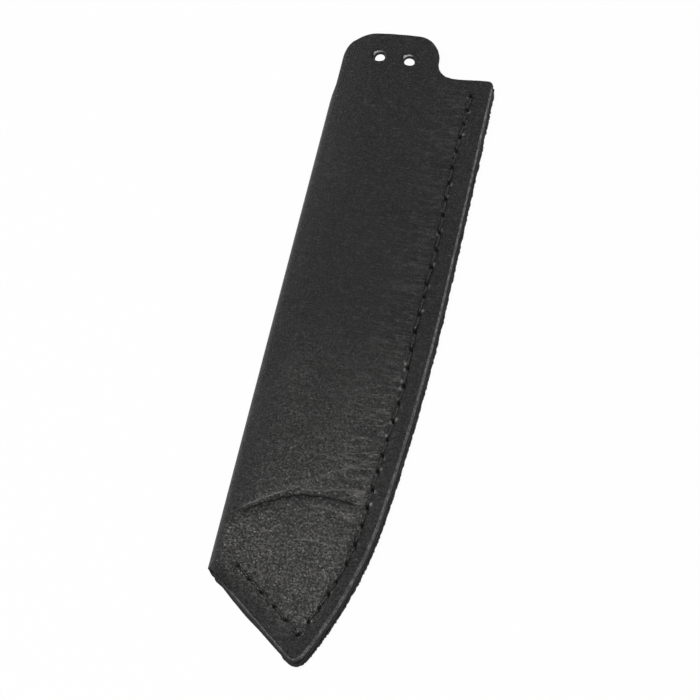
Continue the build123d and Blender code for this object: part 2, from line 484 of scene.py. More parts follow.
@dataclass
class Shell:
    """A closed skin of even thickness over a grid's points, with a shaped rim round its edges and holes."""

    points: Array
    quads: Array
    thickness: float
    relief: Array
    rim_depths: Array
    rim_steps: Array

    def normals(self) -> Array:
        """Find the outward direction at each point: the sum of the cross products of its quads' diagonals.

        Returns:
            Directions of length 1.
        """
        corner = self.points[self.quads]
        facing = np.cross(corner[:, 2] - corner[:, 0], corner[:, 3] - corner[:, 1])
        total = np.zeros_like(self.points)
        for index in range(4):
            np.add.at(total, self.quads[:, index], facing)
        return unit(total)

    def border(self) -> Array:
        """Find the edges that only one quad has.

        Returns:
            Pairs of points in that quad's order.
        """
        pairs = np.vstack([np.stack([self.quads[:, i], self.quads[:, (i + 1) % 4]], -1) for i in range(4)])
        count = len(self.points)
        forward = pairs[:, 0] * count + pairs[:, 1]
        backward = pairs[:, 1] * count + pairs[:, 0]
        return pairs[~np.isin(forward, backward)]

    def build(self) -> tuple[Array, Array, Array, Array]:
        """Make the outer face, the inner face and the rim between them.

        The inner face is the outer one without its relief, moved in by the thickness. The rim follows every
        border: at each depth its line stands off the border, square to it, by that point's step.

        Returns:
            Points in millimetres, quads, the grid point that each point came from, and each point's level:
            0 on the outer face, the last on the inner face.
        """
        facing = self.normals()
        border = self.border()
        run = unit(self.points[border[:, 1]] - self.points[border[:, 0]])
        out = np.zeros_like(self.points)
        for index in range(2):
            np.add.at(out, border[:, index], np.cross(run, facing[border[:, index]]))
        out = unit(out)
        ring = np.unique(border)
        place = np.full(len(self.points), -1)
        place[ring] = np.arange(len(ring))
        total, last = len(self.points), len(self.rim_depths) - 1
        layers = []
        for level, depth in enumerate(self.rim_depths):
            share = depth / self.thickness
            step = out[ring] * self.rim_steps[ring, level, None]
            lift = (self.relief[ring] * (1 - share) - depth)[:, None]
            layers.append(self.points[ring] + facing[ring] * lift + step)
        outer = self.points + facing * self.relief[:, None]
        inner = self.points - facing * self.thickness
        outer[ring], inner[ring] = layers[0], layers[-1]
        starts = total + len(ring) * np.arange(last - 1)
        inner_start = total + len(ring) * (last - 1)
        chain = [border] + [place[border] + start for start in starts] + [border + inner_start]
        bands = [np.hstack([near[:, ::-1], far]) for near, far in zip(chain, chain[1:])]
        quads = np.vstack([self.quads, self.quads[:, ::-1] + inner_start, *bands])
        origin = np.concatenate([np.arange(total), *[ring] * (last - 1), np.arange(total)])
        sizes = [total, *[len(ring)] * (last - 1), total]
        return np.vstack([outer, *layers[1:-1], inner]), quads, origin, np.repeat(np.arange(last + 1), sizes)


def make_mesh(name: str, points: Array, faces: Array, marks: Mapping[str, Array]) -> bpy.types.Object:
    """Put points, faces and named numbers into a smooth mesh object at the origin.

    Args:
        name: Name of the object.
        points: Points in metres.
        faces: Faces of three or four points each.
        marks: Numbers kept per point, by name.

    Returns:
        The object, linked to the scene.
    """
    used = np.unique(faces)
    renumber = np.full(len(points), -1)
    renumber[used] = np.arange(len(used))
    mesh = bpy.data.meshes.new(name)
    mesh.from_pydata(points[used], [], renumber[faces])
    for title, values in marks.items():
        mark = mesh.attributes.new(title, "FLOAT", "POINT")
        mark.data.foreach_set("value", values[used].astype(np.float32))
    mesh.polygons.foreach_set("use_smooth", np.ones(len(mesh.polygons), bool))
    mesh.update()
    made = bpy.data.objects.new(name, mesh)
    bpy.context.scene.collection.objects.link(made)
    return made


@dataclass
class SeamRelief:
    """Furrow, sunk slots, puffed leather, drawn creases, painted shade and painted glints along one face's
    stitches.
    """

    plan: GuardPlan
    seed: int
    furrow_depth: float
    furrow_width: float
    slot_depth: float
    puff: float = 0.0
    drawn: float = 0.0
    slot_width: float = 0.31
    slot_reach: float = 0.6
    puff_off: float = 1.75
    puff_width: float = 0.75
    crease_width: float = 0.5
    crease_reach: float = 1.9
    crease_lean: float = 0.35
    uneven: Pair = (0.7, 1.25)
    swing: float = 0.6
    glint_width: float = 0.42
    glint_along: Pair = (0.6, 1.2)
    glint_off: float = 0.8
    glint_shine: Pair = (-0.4, 1.8)

    def measure(self, x: Array, y: Array) -> tuple[Array, Array, Array]:
        """Find the nearest stitch of each point by its distance to the straight run between two slots.

        Args:
            x: Places across.
            y: Places along.

        Returns:
            Stitch number and part, distance off the seam towards the pocket, and plain distance.
        """
        centre, _along = self.plan.holes
        start, run = centre[:-1], centre[1:] - centre[:-1]
        length = np.linalg.norm(run, axis=1)
        point = np.stack([x, y], -1)
        best = np.full(len(x), 1e9)
        phase, off = np.zeros(len(x)), np.zeros(len(x))
        for index, (origin, step) in enumerate(zip(start, run)):
            step_unit = step / length[index]
            offset = point - origin
            share = np.clip(offset @ step_unit / length[index], 0.0, 1.0)
            gap = np.linalg.norm(offset - share[:, None] * step, axis=1)
            side = offset @ np.array([step_unit[1], -step_unit[0]])
            nearer = gap < best
            best = np.where(nearer, gap, best)
            phase = np.where(nearer, index + share, phase)
            off = np.where(nearer, np.sign(side) * gap, off)
        return phase, off, best

    def at(self, x: Array, y: Array) -> tuple[Array, Array, Array]:
        """Relief, shade and glints of points near the seam.

        Args:
            x: Places across.
            y: Places along.

        Returns:
            Heights to add, how strong the painted shade on each point is and how strong its painted glint is,
            0 to 1.
        """
        phase, off, gap = self.measure(x, y)
        spread = np.random.default_rng(self.seed)
        centre, _along = self.plan.holes
        uneven = spread.uniform(*self.uneven, len(centre))
        swing = spread.uniform(-self.swing, self.swing, len(centre))
        near_hole = np.clip(np.rint(phase).astype(int), 0, len(centre) - 1)
        wave = np.cos(2 * np.pi * phase)
        strength = uneven[near_hole]
        furrow = bell(gap, self.furrow_width) * (0.72 + 0.28 * wave * strength)
        puffs = bell(np.abs(off) - self.puff_off, self.puff_width) * (0.5 - 0.5 * wave) * strength * (gap < 5)
        along_hole = (phase - near_hole) * self.plan.pitch
        lean = along_hole - swing[near_hole] * np.clip(off, 0.0, 3.0) * self.crease_lean
        reach = smooth((off - 0.5) / 0.8) * np.exp(-np.maximum(off, 0.0) / self.crease_reach)
        creases = bell(lean, self.crease_width) * reach * strength
        offset = np.stack([x, y], -1) - centre[near_hole]
        slot = self.plan.slot_lines[near_hole]
        along = np.abs(np.einsum("ij,ij->i", offset, slot))
        across = offset[:, 0] * slot[:, 1] - offset[:, 1] * slot[:, 0]
        cut = bell(across, self.slot_width) * fade(along, self.slot_reach * strength, self.slot_reach)
        relief = -self.furrow_depth * furrow - self.slot_depth * cut
        relief = relief + self.puff * puffs - self.drawn * creases
        # Painted shade: darker along the furrow and darkest in the awl slots.
        shade = np.clip(0.45 * bell(gap, self.furrow_width * 0.8) + 1.5 * cut, 0.0, 1.0)
        # Painted glints: small pale spots beside each awl slot, none inside the slot.
        glint = np.zeros(len(x))
        for way in (-1, 1):
            glint_along = way * spread.uniform(*self.glint_along, len(centre))
            glint_off = spread.uniform(-self.glint_off, self.glint_off, len(centre))
            painted_highlight = np.clip(spread.uniform(*self.glint_shine, len(centre)), 0.0, 1.0)
            away = np.hypot(along_hole - glint_along[near_hole], off - glint_off[near_hole])
            glint = np.maximum(glint, bell(away, self.glint_width) * painted_highlight[near_hole])
        return relief, shade, glint * (1 - cut)


@dataclass(frozen=True)
class Crease:
    """A fold line pressed into the front panel, through a few places, highest or deepest in its middle."""

    through: tuple[Pair, ...]
    depth: float
    width: float
    # Strengths of a painted highlight along a ridge's line and of painted shade along a trough's line.
    worn: float = 0.0
    shade: float = 0.0

    def at(self, x: Array, y: Array) -> tuple[Array, Array]:
        """Relief and line of points near the crease: a bell across it that fades towards both ends.

        Args:
            x: Places across.
            y: Places along.

        Returns:
            Heights to add, and how near to the crease's line each point is, 0 to 1.
        """
        number = np.arange(len(self.through))
        steps = np.linspace(0, number[-1], PIECES_PER_SPOT * len(number))
        spots = np.stack([np.interp(steps, number, line) for line in np.array(self.through).T], -1)
        run = spots[1:] - spots[:-1]
        best, reach = np.full(len(x), 1e9), np.zeros(len(x))
        point = np.stack([x, y], -1)
        for index, (origin, step) in enumerate(zip(spots, run)):
            share = np.clip((point - origin) @ step / (step @ step), 0.0, 1.0)
            gap = np.linalg.norm(point - origin - share[:, None] * step, axis=1)
            reach = np.where(gap < best, (index + share) / len(run), reach)
            best = np.minimum(best, gap)
        height = np.sin(np.pi * np.clip(reach, 0.0, 1.0)) ** 0.7
        return self.depth * bell(best, self.width) * height, bell(best, min(self.width, LINE_WIDTH)) * height


FRONT_CREASES: tuple[Crease, ...] = (
    Crease(
        ((4.6, 39.6), (9.9, 41.8), (12.4, 43.3), (14.9, 45.4), (21.6, 47.5), (29.1, 48.2), (38.5, 47.2)),
        -0.7, 0.9, shade=0.6,
    ),
    Crease(
        ((4.6, 40.6), (8.3, 43.2), (11.8, 45.5), (15.4, 47.5), (19.0, 49.6), (24.0, 52.4)),
        0.4, 0.9, worn=0.14,
    ),
    Crease(((20.0, 50.6), (25.4, 53.8), (31.0, 57.2), (37.7, 60.4)), 0.22, 0.8, worn=0.12),
    Crease(((16.0, 49.6), (24.4, 50.3), (31.0, 51.6), (40.0, 52.2)), 0.3, 0.8, worn=0.12),
    Crease(((24.4, 34.7), (29.7, 35.3), (34.0, 34.0)), 0.22, 0.8, worn=0.1),
    Crease(((24.6, 33.6), (28.6, 34.2), (34.2, 32.8)), -0.16, 0.7, shade=0.25),
    Crease(((30.0, 61.4), (35.0, 62.6), (40.5, 63.4)), -0.2, 0.7, shade=0.3),
    Crease(((33.0, 57.8), (37.0, 58.4), (41.0, 58.0)), -0.22, 0.6, shade=0.3),
    Crease(((30.0, 46.8), (34.0, 47.4), (40.0, 48.6)), -0.2, 0.6, shade=0.3),
    Crease(((10.0, 33.0), (16.0, 37.0), (24.0, 40.0), (33.0, 40.6)), -0.3, 3.2),
    Crease(((12.0, 56.0), (20.0, 59.6), (30.0, 63.0)), -0.14, 2.6),
)


@dataclass(frozen=True)
class Wrinkle:
    """A fine line on the front panel, a painted highlight if its strength is above 0 and painted shade if it
    is below.
    """

    through: tuple[Pair, ...]
    width: float
    strength: float


FRONT_WRINKLES: tuple[Wrinkle, ...] = (
    Wrinkle(
        (
            (5.9, 40.3), (9.9, 41.8), (14.9, 45.4), (18.0, 47.1), (21.6, 47.7), (25.2, 48.6), (29.1, 48.4),
            (33.7, 48.3), (38.5, 47.4),
        ),
        0.42, -1.0,
    ),
    Wrinkle(
        ((5.4, 41.1), (8.3, 43.0), (10.0, 44.3), (11.8, 45.1), (13.6, 46.1), (15.4, 47.0), (17.8, 48.1)),
        0.36, 0.9,
    ),
    Wrinkle(((16.4, 49.5), (18.8, 49.9), (21.4, 50.3)), 0.26, 0.7),
    Wrinkle(((18.6, 47.8), (21.0, 48.3), (23.6, 49.0)), 0.22, 0.8),
    Wrinkle(((23.6, 61.0), (25.5, 61.2), (27.9, 60.9)), 0.26, 0.8),
    Wrinkle(((30.8, 62.6), (35.7, 64.0), (40.6, 65.4)), 0.22, 0.55),
    Wrinkle(((25.4, 54.6), (27.2, 55.0), (29.0, 55.5)), 0.26, 0.9),
    Wrinkle(((28.4, 56.4), (31.0, 57.5), (32.4, 58.6), (34.0, 59.6), (37.7, 60.5), (39.6, 60.2)), 0.26, 0.65),
    Wrinkle(((33.2, 55.6), (35.5, 55.9), (37.9, 56.0)), 0.24, 0.75),
    Wrinkle(
        ((21.2, 49.6), (24.4, 49.8), (26.9, 50.2), (29.6, 50.9), (33.9, 51.9), (36.0, 52.1), (38.8, 51.8)),
        0.26, 0.75,
    ),
    Wrinkle(((35.2, 48.6), (37.5, 48.6), (40.0, 48.4)), 0.24, 0.8),
    Wrinkle(((31.0, 45.2), (34.0, 45.8), (38.2, 46.4)), 0.24, 0.4),
    Wrinkle(((23.4, 34.5), (26.0, 34.9), (28.2, 35.2), (31.0, 34.8), (34.6, 33.7)), 0.3, 0.75),
    Wrinkle(((8.0, 38.8), (12.0, 41.2), (16.0, 44.0)), 0.3, -0.4),
    Wrinkle(((26.0, 47.3), (30.0, 47.0), (35.0, 46.9)), 0.3, -0.5),
)


@dataclass(frozen=True)
class CutEdge:
    """Profiles of the hide's cut edges, as steps outwards at depths below the face, their raggedness and
    painted highlights.
    """

    depths: tuple[float, ...] = (0.0, 0.02, 0.16, 0.46, 0.8, 1.2, 1.6, 1.8)
    plain: tuple[float, ...] = (-0.3, -0.27, -0.12, 0.0, 0.02, 0.0, -0.08, -0.25)
    bevel: tuple[float, ...] = (-0.44, -0.4, -0.2, -0.01, 0.05, 0.02, -0.05, -0.25)
    hole: tuple[float, ...] = (-0.3, -0.26, -0.1, 0.08, 0.28, 0.38, 0.4, 0.36)
    bevel_levels: int = 4
    wider_below: float = 0.24
    waves: tuple[tuple[int, int, float, float], ...] = (
        (41, 0, 6.0, 0.35), (42, 1, 3.0, 0.6), (43, 0, 1.0, 1.1),
    )
    rough: float = 0.07
    rough_behind: float = 0.12
    stand_out: float = 0.3
    tip_stand_out: float = 0.28
    dull: float = 0.12
    hole_dull: float = 0.15
    hole_reach: float = 1.2
    low_heights: Pair = (50.0, 90.0)
    low_dimming: float = 0.4
    highlight_side: Pair = (-0.5, 0.866)

    def ragged(self, shape: tuple[int, int]) -> Array:
        """Raggedness of the cut: long and short waves from row to row, and waves from column to column.

        Args:
            shape: Rows and columns of the hide's grid.

        Returns:
            Shares by row, column and depth.
        """
        total = 0.0
        for seed, axis, period, share in self.waves:
            size, count = shape[axis], len(self.depths)
            wave = lattice(seed, (size, count), (period, 2.5), (float(size), float(count)))
            total = total + share * np.expand_dims(wave, 1 - axis)
        return total

    def shape(self, plan: GuardPlan, x: Array, y: Array, is_front: Array) -> tuple[Array, Array, Array]:
        """Lay out the rim: bevelled in front, ragged and standing out a little behind and at the tip cut,
        and drawn together in the lace holes.

        Args:
            plan: Sizes of the guard.
            x: Places across.
            y: Places along.
            is_front: Which points are on the front and the fold's upper half.

        Returns:
            Each point's steps outwards at the depths, its painted bevel highlight and hole highlight, 0 to 1.
        """
        profiles = (self.depths, self.plain, self.bevel, self.hole)
        depths, plain, bevel, hole = (np.array(profile) for profile in profiles)
        below_mouth = plan.mouth - y
        seam_side = smooth(below_mouth / 3.0) * smooth((x - 5.0) / 4.0)
        behind = (~is_front * seam_side)[..., None]
        ragged = self.ragged(x.shape)
        steps = plain + (bevel - plain) * seam_side[..., None]
        steps = steps + ragged * (self.rough + self.rough_behind * behind) * np.minimum(depths / 0.2, 1.0)
        steps = steps + self.stand_out * behind * smooth(below_mouth / 30.0)[..., None]
        at_tip = (plan.tip_gap(x, y) < 1.5)[..., None]
        rougher = ragged * (0.5 + 1.2 * fade(x, 4.0, 5.0))[..., None]
        steps = steps + self.tip_stand_out * at_tip * (1 + rougher)
        low = fade(y, *self.low_heights)
        steps[..., :2] -= self.wider_below * (low * seam_side * is_front)[..., None]
        # Painted highlight on the bevel, partly its burnish: full on the front's stitched edge, weaker lower
        # down, dull elsewhere.
        bevel_highlight = self.dull + (1 - self.dull) * seam_side * is_front * (1 - self.low_dimming * low)
        # Painted highlight on the upper side of each lace hole's rim.
        painted_highlight = np.zeros(x.shape)
        for centre in plan.hole_places:
            offset = np.stack([x - centre[0], y - centre[1]], -1)
            near = np.linalg.norm(offset, axis=-1) < plan.hole_radius + self.hole_reach
            steps = np.where(near[..., None], hole, steps)
            bevel_highlight = np.where(near, self.hole_dull, bevel_highlight)
            painted_highlight += near * smooth((unit(offset) @ np.array(self.highlight_side) - 0.55) / 0.4)
        return steps, bevel_highlight, painted_highlight


@dataclass(frozen=True)
class SheenAndWrinkles:
    """Where the front panel is painted paler as a sheen, and where the stitches have drawn it into wrinkles.

    Each pair of heights is the place where a share begins to fade upwards, and the length that it takes.
    """

    share: float = 0.66
    share_heights: Pair = (36.0, 84.0)
    low_share: float = 0.13
    low_heights: Pair = (30.0, 14.0)
    margin: float = 2.5
    margin_fade: float = 4.5
    margin_share: float = 0.18
    gleam: float = 0.95
    gleam_spot: Pair = (7.5, 30.0)
    gleam_radius: float = 8.0
    drawn_height: float = 62.0
    drawn_reach: float = 24.0
    drawn_share: float = 0.26

    def painted_sheen(self, plan: GuardPlan, x: Array, y: Array) -> Array:
        """How strong the painted sheen on the front is: most below the main crease, less upwards and along
        the edges, and most of all on a painted gleam beside the fold.

        Args:
            plan: Sizes of the guard.
            x: Places across.
            y: Places along.

        Returns:
            Shares, 0 to 1.
        """
        tip_gap = plan.tip_gap(x, y)
        # Less painted sheen within the margins of the edge, the tip cut and the fold.
        inward = self.margin + 8.0 * smooth((y - 32.0) / 12.0)
        within = np.ones_like(x)
        for gap, reach in ((plan.edge_x(y) - x, self.margin_fade), (tip_gap, self.margin_fade), (x, inward)):
            within = within * smooth((gap - self.margin) / reach)
        # Painted sheen fading upwards from the tip, plus a painted gleam on a round patch beside the fold.
        share = self.share * fade(y, *self.share_heights) + self.low_share * fade(y, *self.low_heights)
        gleam = bell(np.hypot(x - self.gleam_spot[0], y - self.gleam_spot[1]), self.gleam_radius)
        gleam = gleam * smooth((tip_gap - 0.5) / 3.0) * smooth((x - 1.5) / 3.0)
        share = share * (self.margin_share + (1 - self.margin_share) * within)
        return np.clip(share + self.gleam * gleam, 0.0, 1.0)

    def drawn(self, plan: GuardPlan, x: Array, y: Array) -> Array:
        """How wrinkled the front is: only beside the seam, and most in a bell round one height.

        Args:
            plan: Sizes of the guard.
            x: Places across.
            y: Places along.

        Returns:
            Shares, 0 to 1.
        """
        edge_gap = plan.edge_x(y) - x
        share = self.drawn_share + (1 - self.drawn_share) * bell(y - self.drawn_height, self.drawn_reach)
        beside = smooth((edge_gap - 6.0) / 1.5) * fade(edge_gap, 8.0, 16.0)
        return beside * share * smooth((plan.mouth - y) / 3.0)


@dataclass
class FoldedHide:
    """The one folded leather: front panel with its lacing tab, fold and back panel."""

    plan: GuardPlan
    cut_edge: CutEdge = field(default_factory=CutEdge)
    sheen_and_wrinkles: SheenAndWrinkles = field(default_factory=SheenAndWrinkles)
    rows_per_stitch: int = 11
    row_gap: float = 0.16
    edge_steps: tuple[float, ...] = (0.0, 0.85, 1.3, 1.9, 2.6)
    tip_band: Array = field(default_factory=lambda: np.array([3.3, 3.9, *np.arange(4.34, 8.3, 0.26), 8.7]))
    front_band: Array = field(default_factory=lambda: np.arange(-1.56, 2.6, 0.26))
    back_band: Array = field(default_factory=lambda: np.arange(-1.5, 2.6, 0.5))
    beside_tab: int = 5
    under_tab: int = 35
    back_columns: int = 13
    hole_block: float = 1.65
    hole_rings: tuple[int, int] = (5, 3)
    hole_sink: float = 0.22
    hole_sink_reach: float = 0.6
    tab_row_gap: float = 0.45
    tab_pivot: float = 9.0
    tab_drop: float = 0.35
    waves: tuple[tuple[int, Pair, float], ...] = ((5, (60.0, 12.0), 0.14), (6, (22.0, 7.0), 0.05))

    def rows(self) -> Array:
        """Label the rows from the tip cut to the mouth: dense at the tip seam, then even along the edge.

        Returns:
            The heights at which the rows start on the fold's side.
        """
        plan = self.plan
        inset = np.concatenate([self.edge_steps, self.tip_band])
        tip = plan.tip_height + inset / np.cos(plan.tip_angle)
        table, ends = plan.row_table
        start = np.interp(tip[-1], table, ends)
        even = plan.seam_top + plan.pitch / self.rows_per_stitch * np.arange(-10, 460)
        even = even[(even < start - 0.3) & (even > 1.25)]
        down = merge_levels(even, [*self.edge_steps[:2], plan.mouth - plan.fold_end], self.row_gap)
        order = np.argsort(ends)
        upper = np.interp(down, ends[order], table[order])
        return np.concatenate([tip, np.sort(upper[upper > tip[-1] + 0.15])])

    def edge_block(self, labels: Array, band: Array) -> tuple[Array, Array]:
        """Columns next to the stitched edge, with the corners at the tip and the mouth rounded.

        Args:
            labels: Labels of the rows.
            band: Places of the seam's columns, off the seam.

        Returns:
            Labels and distances inside the edge, by row and column.
        """
        plan = self.plan
        table, ends = plan.row_table
        margin = plan.margin(np.interp(labels, table, ends))
        steps = np.repeat(np.array(self.edge_steps)[None], len(labels), 0)
        inside = np.hstack([steps, margin[:, None] + band[None]])
        label = np.repeat(labels[:, None], inside.shape[1], 1)
        inset = (label - plan.tip_height) * np.cos(plan.tip_angle)
        inside, inset = rounded(inside, inset, plan.tip_radius)
        label = np.where(inset < plan.tip_radius, plan.tip_height + inset / np.cos(plan.tip_angle), label)
        inside, below = rounded(inside, plan.mouth - label, plan.mouth_radius)
        return np.where(below < plan.mouth_radius, plan.mouth - below, label), inside

    def panel(self, labels: Array, band: Array, shares: Array, side: Side) -> tuple[Array, Array]:
        """Places of one panel's columns, from the stitched edge to where the fold begins.

        Args:
            labels: Labels of the rows.
            band: Places of the seam's columns, off the seam.
            shares: Places of the free columns, as shares of the width from the fold to the seam's columns.
            side: Face of the guard.

        Returns:
            Places across and along, by row and column.
        """
        plan = self.plan
        label, inside = self.edge_block(labels, band)
        x, y, _distance = plan.place(label, inside)
        fold_x = plan.start_x if side is Side.FRONT else plan.fold_radius
        free_x = fold_x + (x[:, -1:] - fold_x) * shares[None]
        free_y = labels[:, None] - plan.slope(labels)[:, None] * free_x
        shift = y[:, -1:] - (labels[:, None] - plan.slope(labels)[:, None] * x[:, -1:])
        free_y = free_y + shift * smooth(shares)[None]
        return np.hstack([x, free_x]), np.hstack([y, free_y])

    def free_side(self, y: Array) -> Array:
        """Place across of the leather on the fold's side: the fold, then a soft step in to the tab's side.

        Args:
            y: Heights.

        Returns:
            Places across.
        """
        plan = self.plan
        step = smooth((y - plan.fold_end) / plan.relief_length)
        return plan.fold_side + (plan.tab_inset - plan.fold_side) * step

    def tab(self, line: Array) -> tuple[Array, Array]:
        """Rows of the lacing tab above the mouth: the mouth's columns, drawn in by the root's fillet and
        rounded at the two upper corners, with the top edge tilted.

        Args:
            line: Places across of the mouth's columns, with those beside the tab past its root.

        Returns:
            Places across and along, by row and column.
        """
        plan = self.plan
        rise = plan.top - plan.mouth
        even = np.arange(self.tab_row_gap, rise - 1.1, self.tab_row_gap)
        rows = np.concatenate([[0.05, 0.2], even, [rise - 0.85, rise]])
        side = plan.tab_inset + plan.tab_width
        root = side + plan.root_radius
        climb = np.minimum(rows, plan.root_radius)
        right = root - np.sqrt(plan.root_radius**2 - (plan.root_radius - climb) ** 2)
        share = (line - plan.tab_inset) / (root - plan.tab_inset)
        x = plan.tab_inset + share[None] * (right - plan.tab_inset)[:, None]
        down = np.repeat(rise - rows[:, None], x.shape[1], 1)
        middle = plan.tab_inset + plan.tab_width / 2
        for is_left, radius in zip((True, False), plan.tab_radii):
            chosen = (x < middle) == is_left
            gap = x - plan.tab_inset if is_left else side - x
            new_gap, new_down = rounded(gap, down, radius)
            x = np.where(chosen, plan.tab_inset + new_gap if is_left else side - new_gap, x)
            down = np.where(chosen, new_down, down)
        tilt = plan.tab_tilt * (x - plan.tab_inset - self.tab_pivot) * np.clip(1 - down / rise, 0.0, 1.0) ** 2
        return x, plan.top - down + tilt - self.tab_drop * (1 - down / rise)

    @property
    def root_x(self) -> float:
        """Place across at which the fillet of the tab's root ends."""
        return self.plan.tab_inset + self.plan.tab_width + self.plan.root_radius

    @property
    def fold_angles(self) -> tuple[Array, Array, Array]:
        """Spread the fold's columns over its half circle.

        Returns:
            Angles of the upper, outermost and lower columns, from straight up.
        """
        low = np.arcsin(1 - self.plan.fold_side / self.plan.fold_radius)
        upper, lower = np.linspace(self.plan.rise, low, 8)[1:], np.linspace(np.pi - low, np.pi, 9)[:-1]
        return upper, np.linspace(low, np.pi - low, 6)[1:-1], lower

    def arc(self, labels: Array, angles: Array) -> tuple[Array, Array]:
        """Places of columns round the fold: the radius times one less the sine of the angle.

        Args:
            labels: Labels of the rows.
            angles: Angles of the columns.

        Returns:
            Places across and along, by row and column.
        """
        x = np.repeat(self.plan.fold_radius * (1 - np.sin(angles))[None], len(labels), 0)
        return x, labels[:, None] - self.plan.slope(labels)[:, None] * x

    def arc_height(self, x: Array) -> Array:
        """How far the fold's circle stands off its middle height at a place across, by Pythagoras."""
        radius = self.plan.fold_radius
        return np.sqrt(np.maximum(radius**2 - np.clip(radius - x, 0.0, radius) ** 2, 0.0))

    def front(self, labels: Array) -> tuple[Array, Array]:
        """Lay out the front: its panel, the fold's upper columns, the rising mouth and the tab above it.

        Args:
            labels: Labels of the rows.

        Returns:
            Places across and along, by row and column.
        """
        plan = self.plan
        band_x = plan.width - plan.wander[0][1] - self.front_band[-1]
        split = (self.root_x - plan.start_x) / (band_x - plan.start_x)
        beside = np.linspace(1, split, self.beside_tab + 1)[1:]
        under = np.linspace(split, 0, self.under_tab + 1)[1:]
        panel = self.panel(labels, self.front_band, np.concatenate([beside, under]), Side.FRONT)
        x, y = (np.hstack(pair) for pair in zip(panel, self.arc(labels, self.fold_angles[0])))
        lift = plan.mouth_tilt * smooth((x - self.root_x) / 10.0)
        y = y + lift * np.clip((y - plan.mouth) / 8.0 + 1.0, 0.0, 1.0) ** 2
        x = self.draw_in(x, self.free_side(labels)[:, None], 10.0)
        tab_x, tab_y = self.tab(x[-1])
        return np.vstack([x, tab_x]), np.vstack([y, tab_y])

    def back(self, labels: Array) -> tuple[Array, Array]:
        """Lay out the back: the fold's lower columns and the panel, with its free corner at the mouth
        rounded.

        Args:
            labels: Labels of the rows.

        Returns:
            Places across and along, by row and column.
        """
        plan = self.plan
        shares = np.linspace(1, 0, self.back_columns + 1)[1:]
        panel = self.panel(labels, self.back_band, shares, Side.BACK)
        arc = self.arc(labels, self.fold_angles[2])
        x, y = (np.hstack([near, far[:, ::-1]]) for near, far in zip(arc, panel))
        x = self.draw_in(x, self.free_side(labels)[:, None], 20.0)
        across, down = rounded(x - plan.tab_inset, plan.mouth - y, plan.back_radius)
        corner = (y > plan.mouth - plan.back_radius) & (x < plan.tab_inset + plan.back_radius)
        return np.where(corner, plan.tab_inset + across, x), np.where(corner, plan.mouth - down, y)

    def cells(self, labels: Array, shape: tuple[int, int], front_end: int, back_start: int) -> Array:
        """Choose the grid's cells that are leather: all round up to the fold's end, both panels up to the
        mouth, and the tab above it.

        Args:
            labels: Labels of the rows up to the mouth.
            shape: Rows and columns of points.
            front_end: Column after the front's last.
            back_start: First column of the back.

        Returns:
            Whether each cell is leather.
        """
        cells = np.zeros((shape[0] - 1, shape[1] - 1), bool)
        fold_row, mouth_row = int(np.argmin(np.abs(labels - self.plan.fold_end))), len(labels) - 1
        root_column = len(self.edge_steps) + len(self.front_band) + self.beside_tab - 1
        cells[:fold_row] = True
        cells[fold_row:mouth_row, : front_end - 1] = True
        cells[fold_row:mouth_row, back_start:] = True
        cells[mouth_row:, root_column : front_end - 1] = True
        return cells

    def build(self) -> bpy.types.Object:
        """Lay out the grid, lift it to the guard's shape, press the seam and creases in and close the shell.

        Returns:
            The finished mesh object.
        """
        plan, radius = self.plan, self.plan.fold_radius
        labels = self.rows()
        front_x, front_y = self.front(labels)
        back_x, back_y = self.back(labels)
        outer_angles = self.fold_angles[1]
        rows, height = len(labels), len(front_x)
        front_end = front_x.shape[1]
        back_start = front_end + len(outer_angles)
        shape = (height, back_start + back_x.shape[1])
        cells = self.cells(labels, shape, front_end, back_start)
        for centre in plan.hole_places:
            self.punch(front_x, front_y, cells, centre)

        x, y, z = (np.zeros(shape) for _ in range(3))
        x[:, :front_end], y[:, :front_end] = front_x, front_y
        x[:rows, front_end:back_start], y[:rows, front_end:back_start] = self.arc(labels, outer_angles)
        x[:rows, back_start:], y[:rows, back_start:] = back_x, back_y
        on_fold = radius + self.arc_height(front_x)
        z[:, :front_end] = np.where(front_x < plan.start_x, on_fold, plan.height(front_x, front_y))
        z[:rows, front_end:back_start] = radius + radius * np.cos(outer_angles)[None]
        z[:rows, back_start:] = radius - self.arc_height(back_x)

        is_front = np.zeros(shape, bool)
        is_front[:, :front_end] = True
        relief, marks = self.press(x, y, is_front)
        steps, bevel_highlight, painted_highlight = self.cut_edge.shape(plan, x, y, is_front)
        depths = np.array(self.cut_edge.depths)
        grid = np.arange(x.size).reshape(shape)
        quads = np.stack([grid[:-1, :-1], grid[1:, :-1], grid[1:, 1:], grid[:-1, 1:]], -1)[cells]
        spots = np.stack([x, y, z], -1).reshape(-1, 3)
        shell = Shell(spots, quads, plan.leather, relief.ravel(), depths, steps.reshape(-1, len(depths)))
        points, faces, origin, level = shell.build()
        last = len(depths) - 1
        in_bevel = level < self.cut_edge.bevel_levels
        kept = {name: values.ravel()[origin] * (level == 0) for name, values in marks.items()}
        kept["cut"] = ((level > 0) & (level < last)).astype(float)
        # Painted highlights on the bevel and on the lace holes' rims.
        kept["bevel"] = bevel_highlight.ravel()[origin] * ((level > 0) & in_bevel)
        kept["inside"] = (level == last).astype(float)
        kept["painted_highlight"] = painted_highlight.ravel()[origin] * in_bevel
        LOG.info("folded hide: %d faces on %d rows and %d columns", len(faces), *shape)
        return make_mesh("folded_hide", plan.world(*points.T), faces, kept)

    def draw_in(self, x: Array, side: Array, near: float) -> Array:
        """Stretch the columns beside the fold so that the outermost lies on the leather's free side.

        Args:
            x: Places across.
            side: Place of the free side in each row.
            near: Place across beyond which nothing moves.

        Returns:
            New places across.
        """
        start = self.plan.fold_side
        return np.where(x < near, side + (x - start) * (near - side) / (near - start), x)

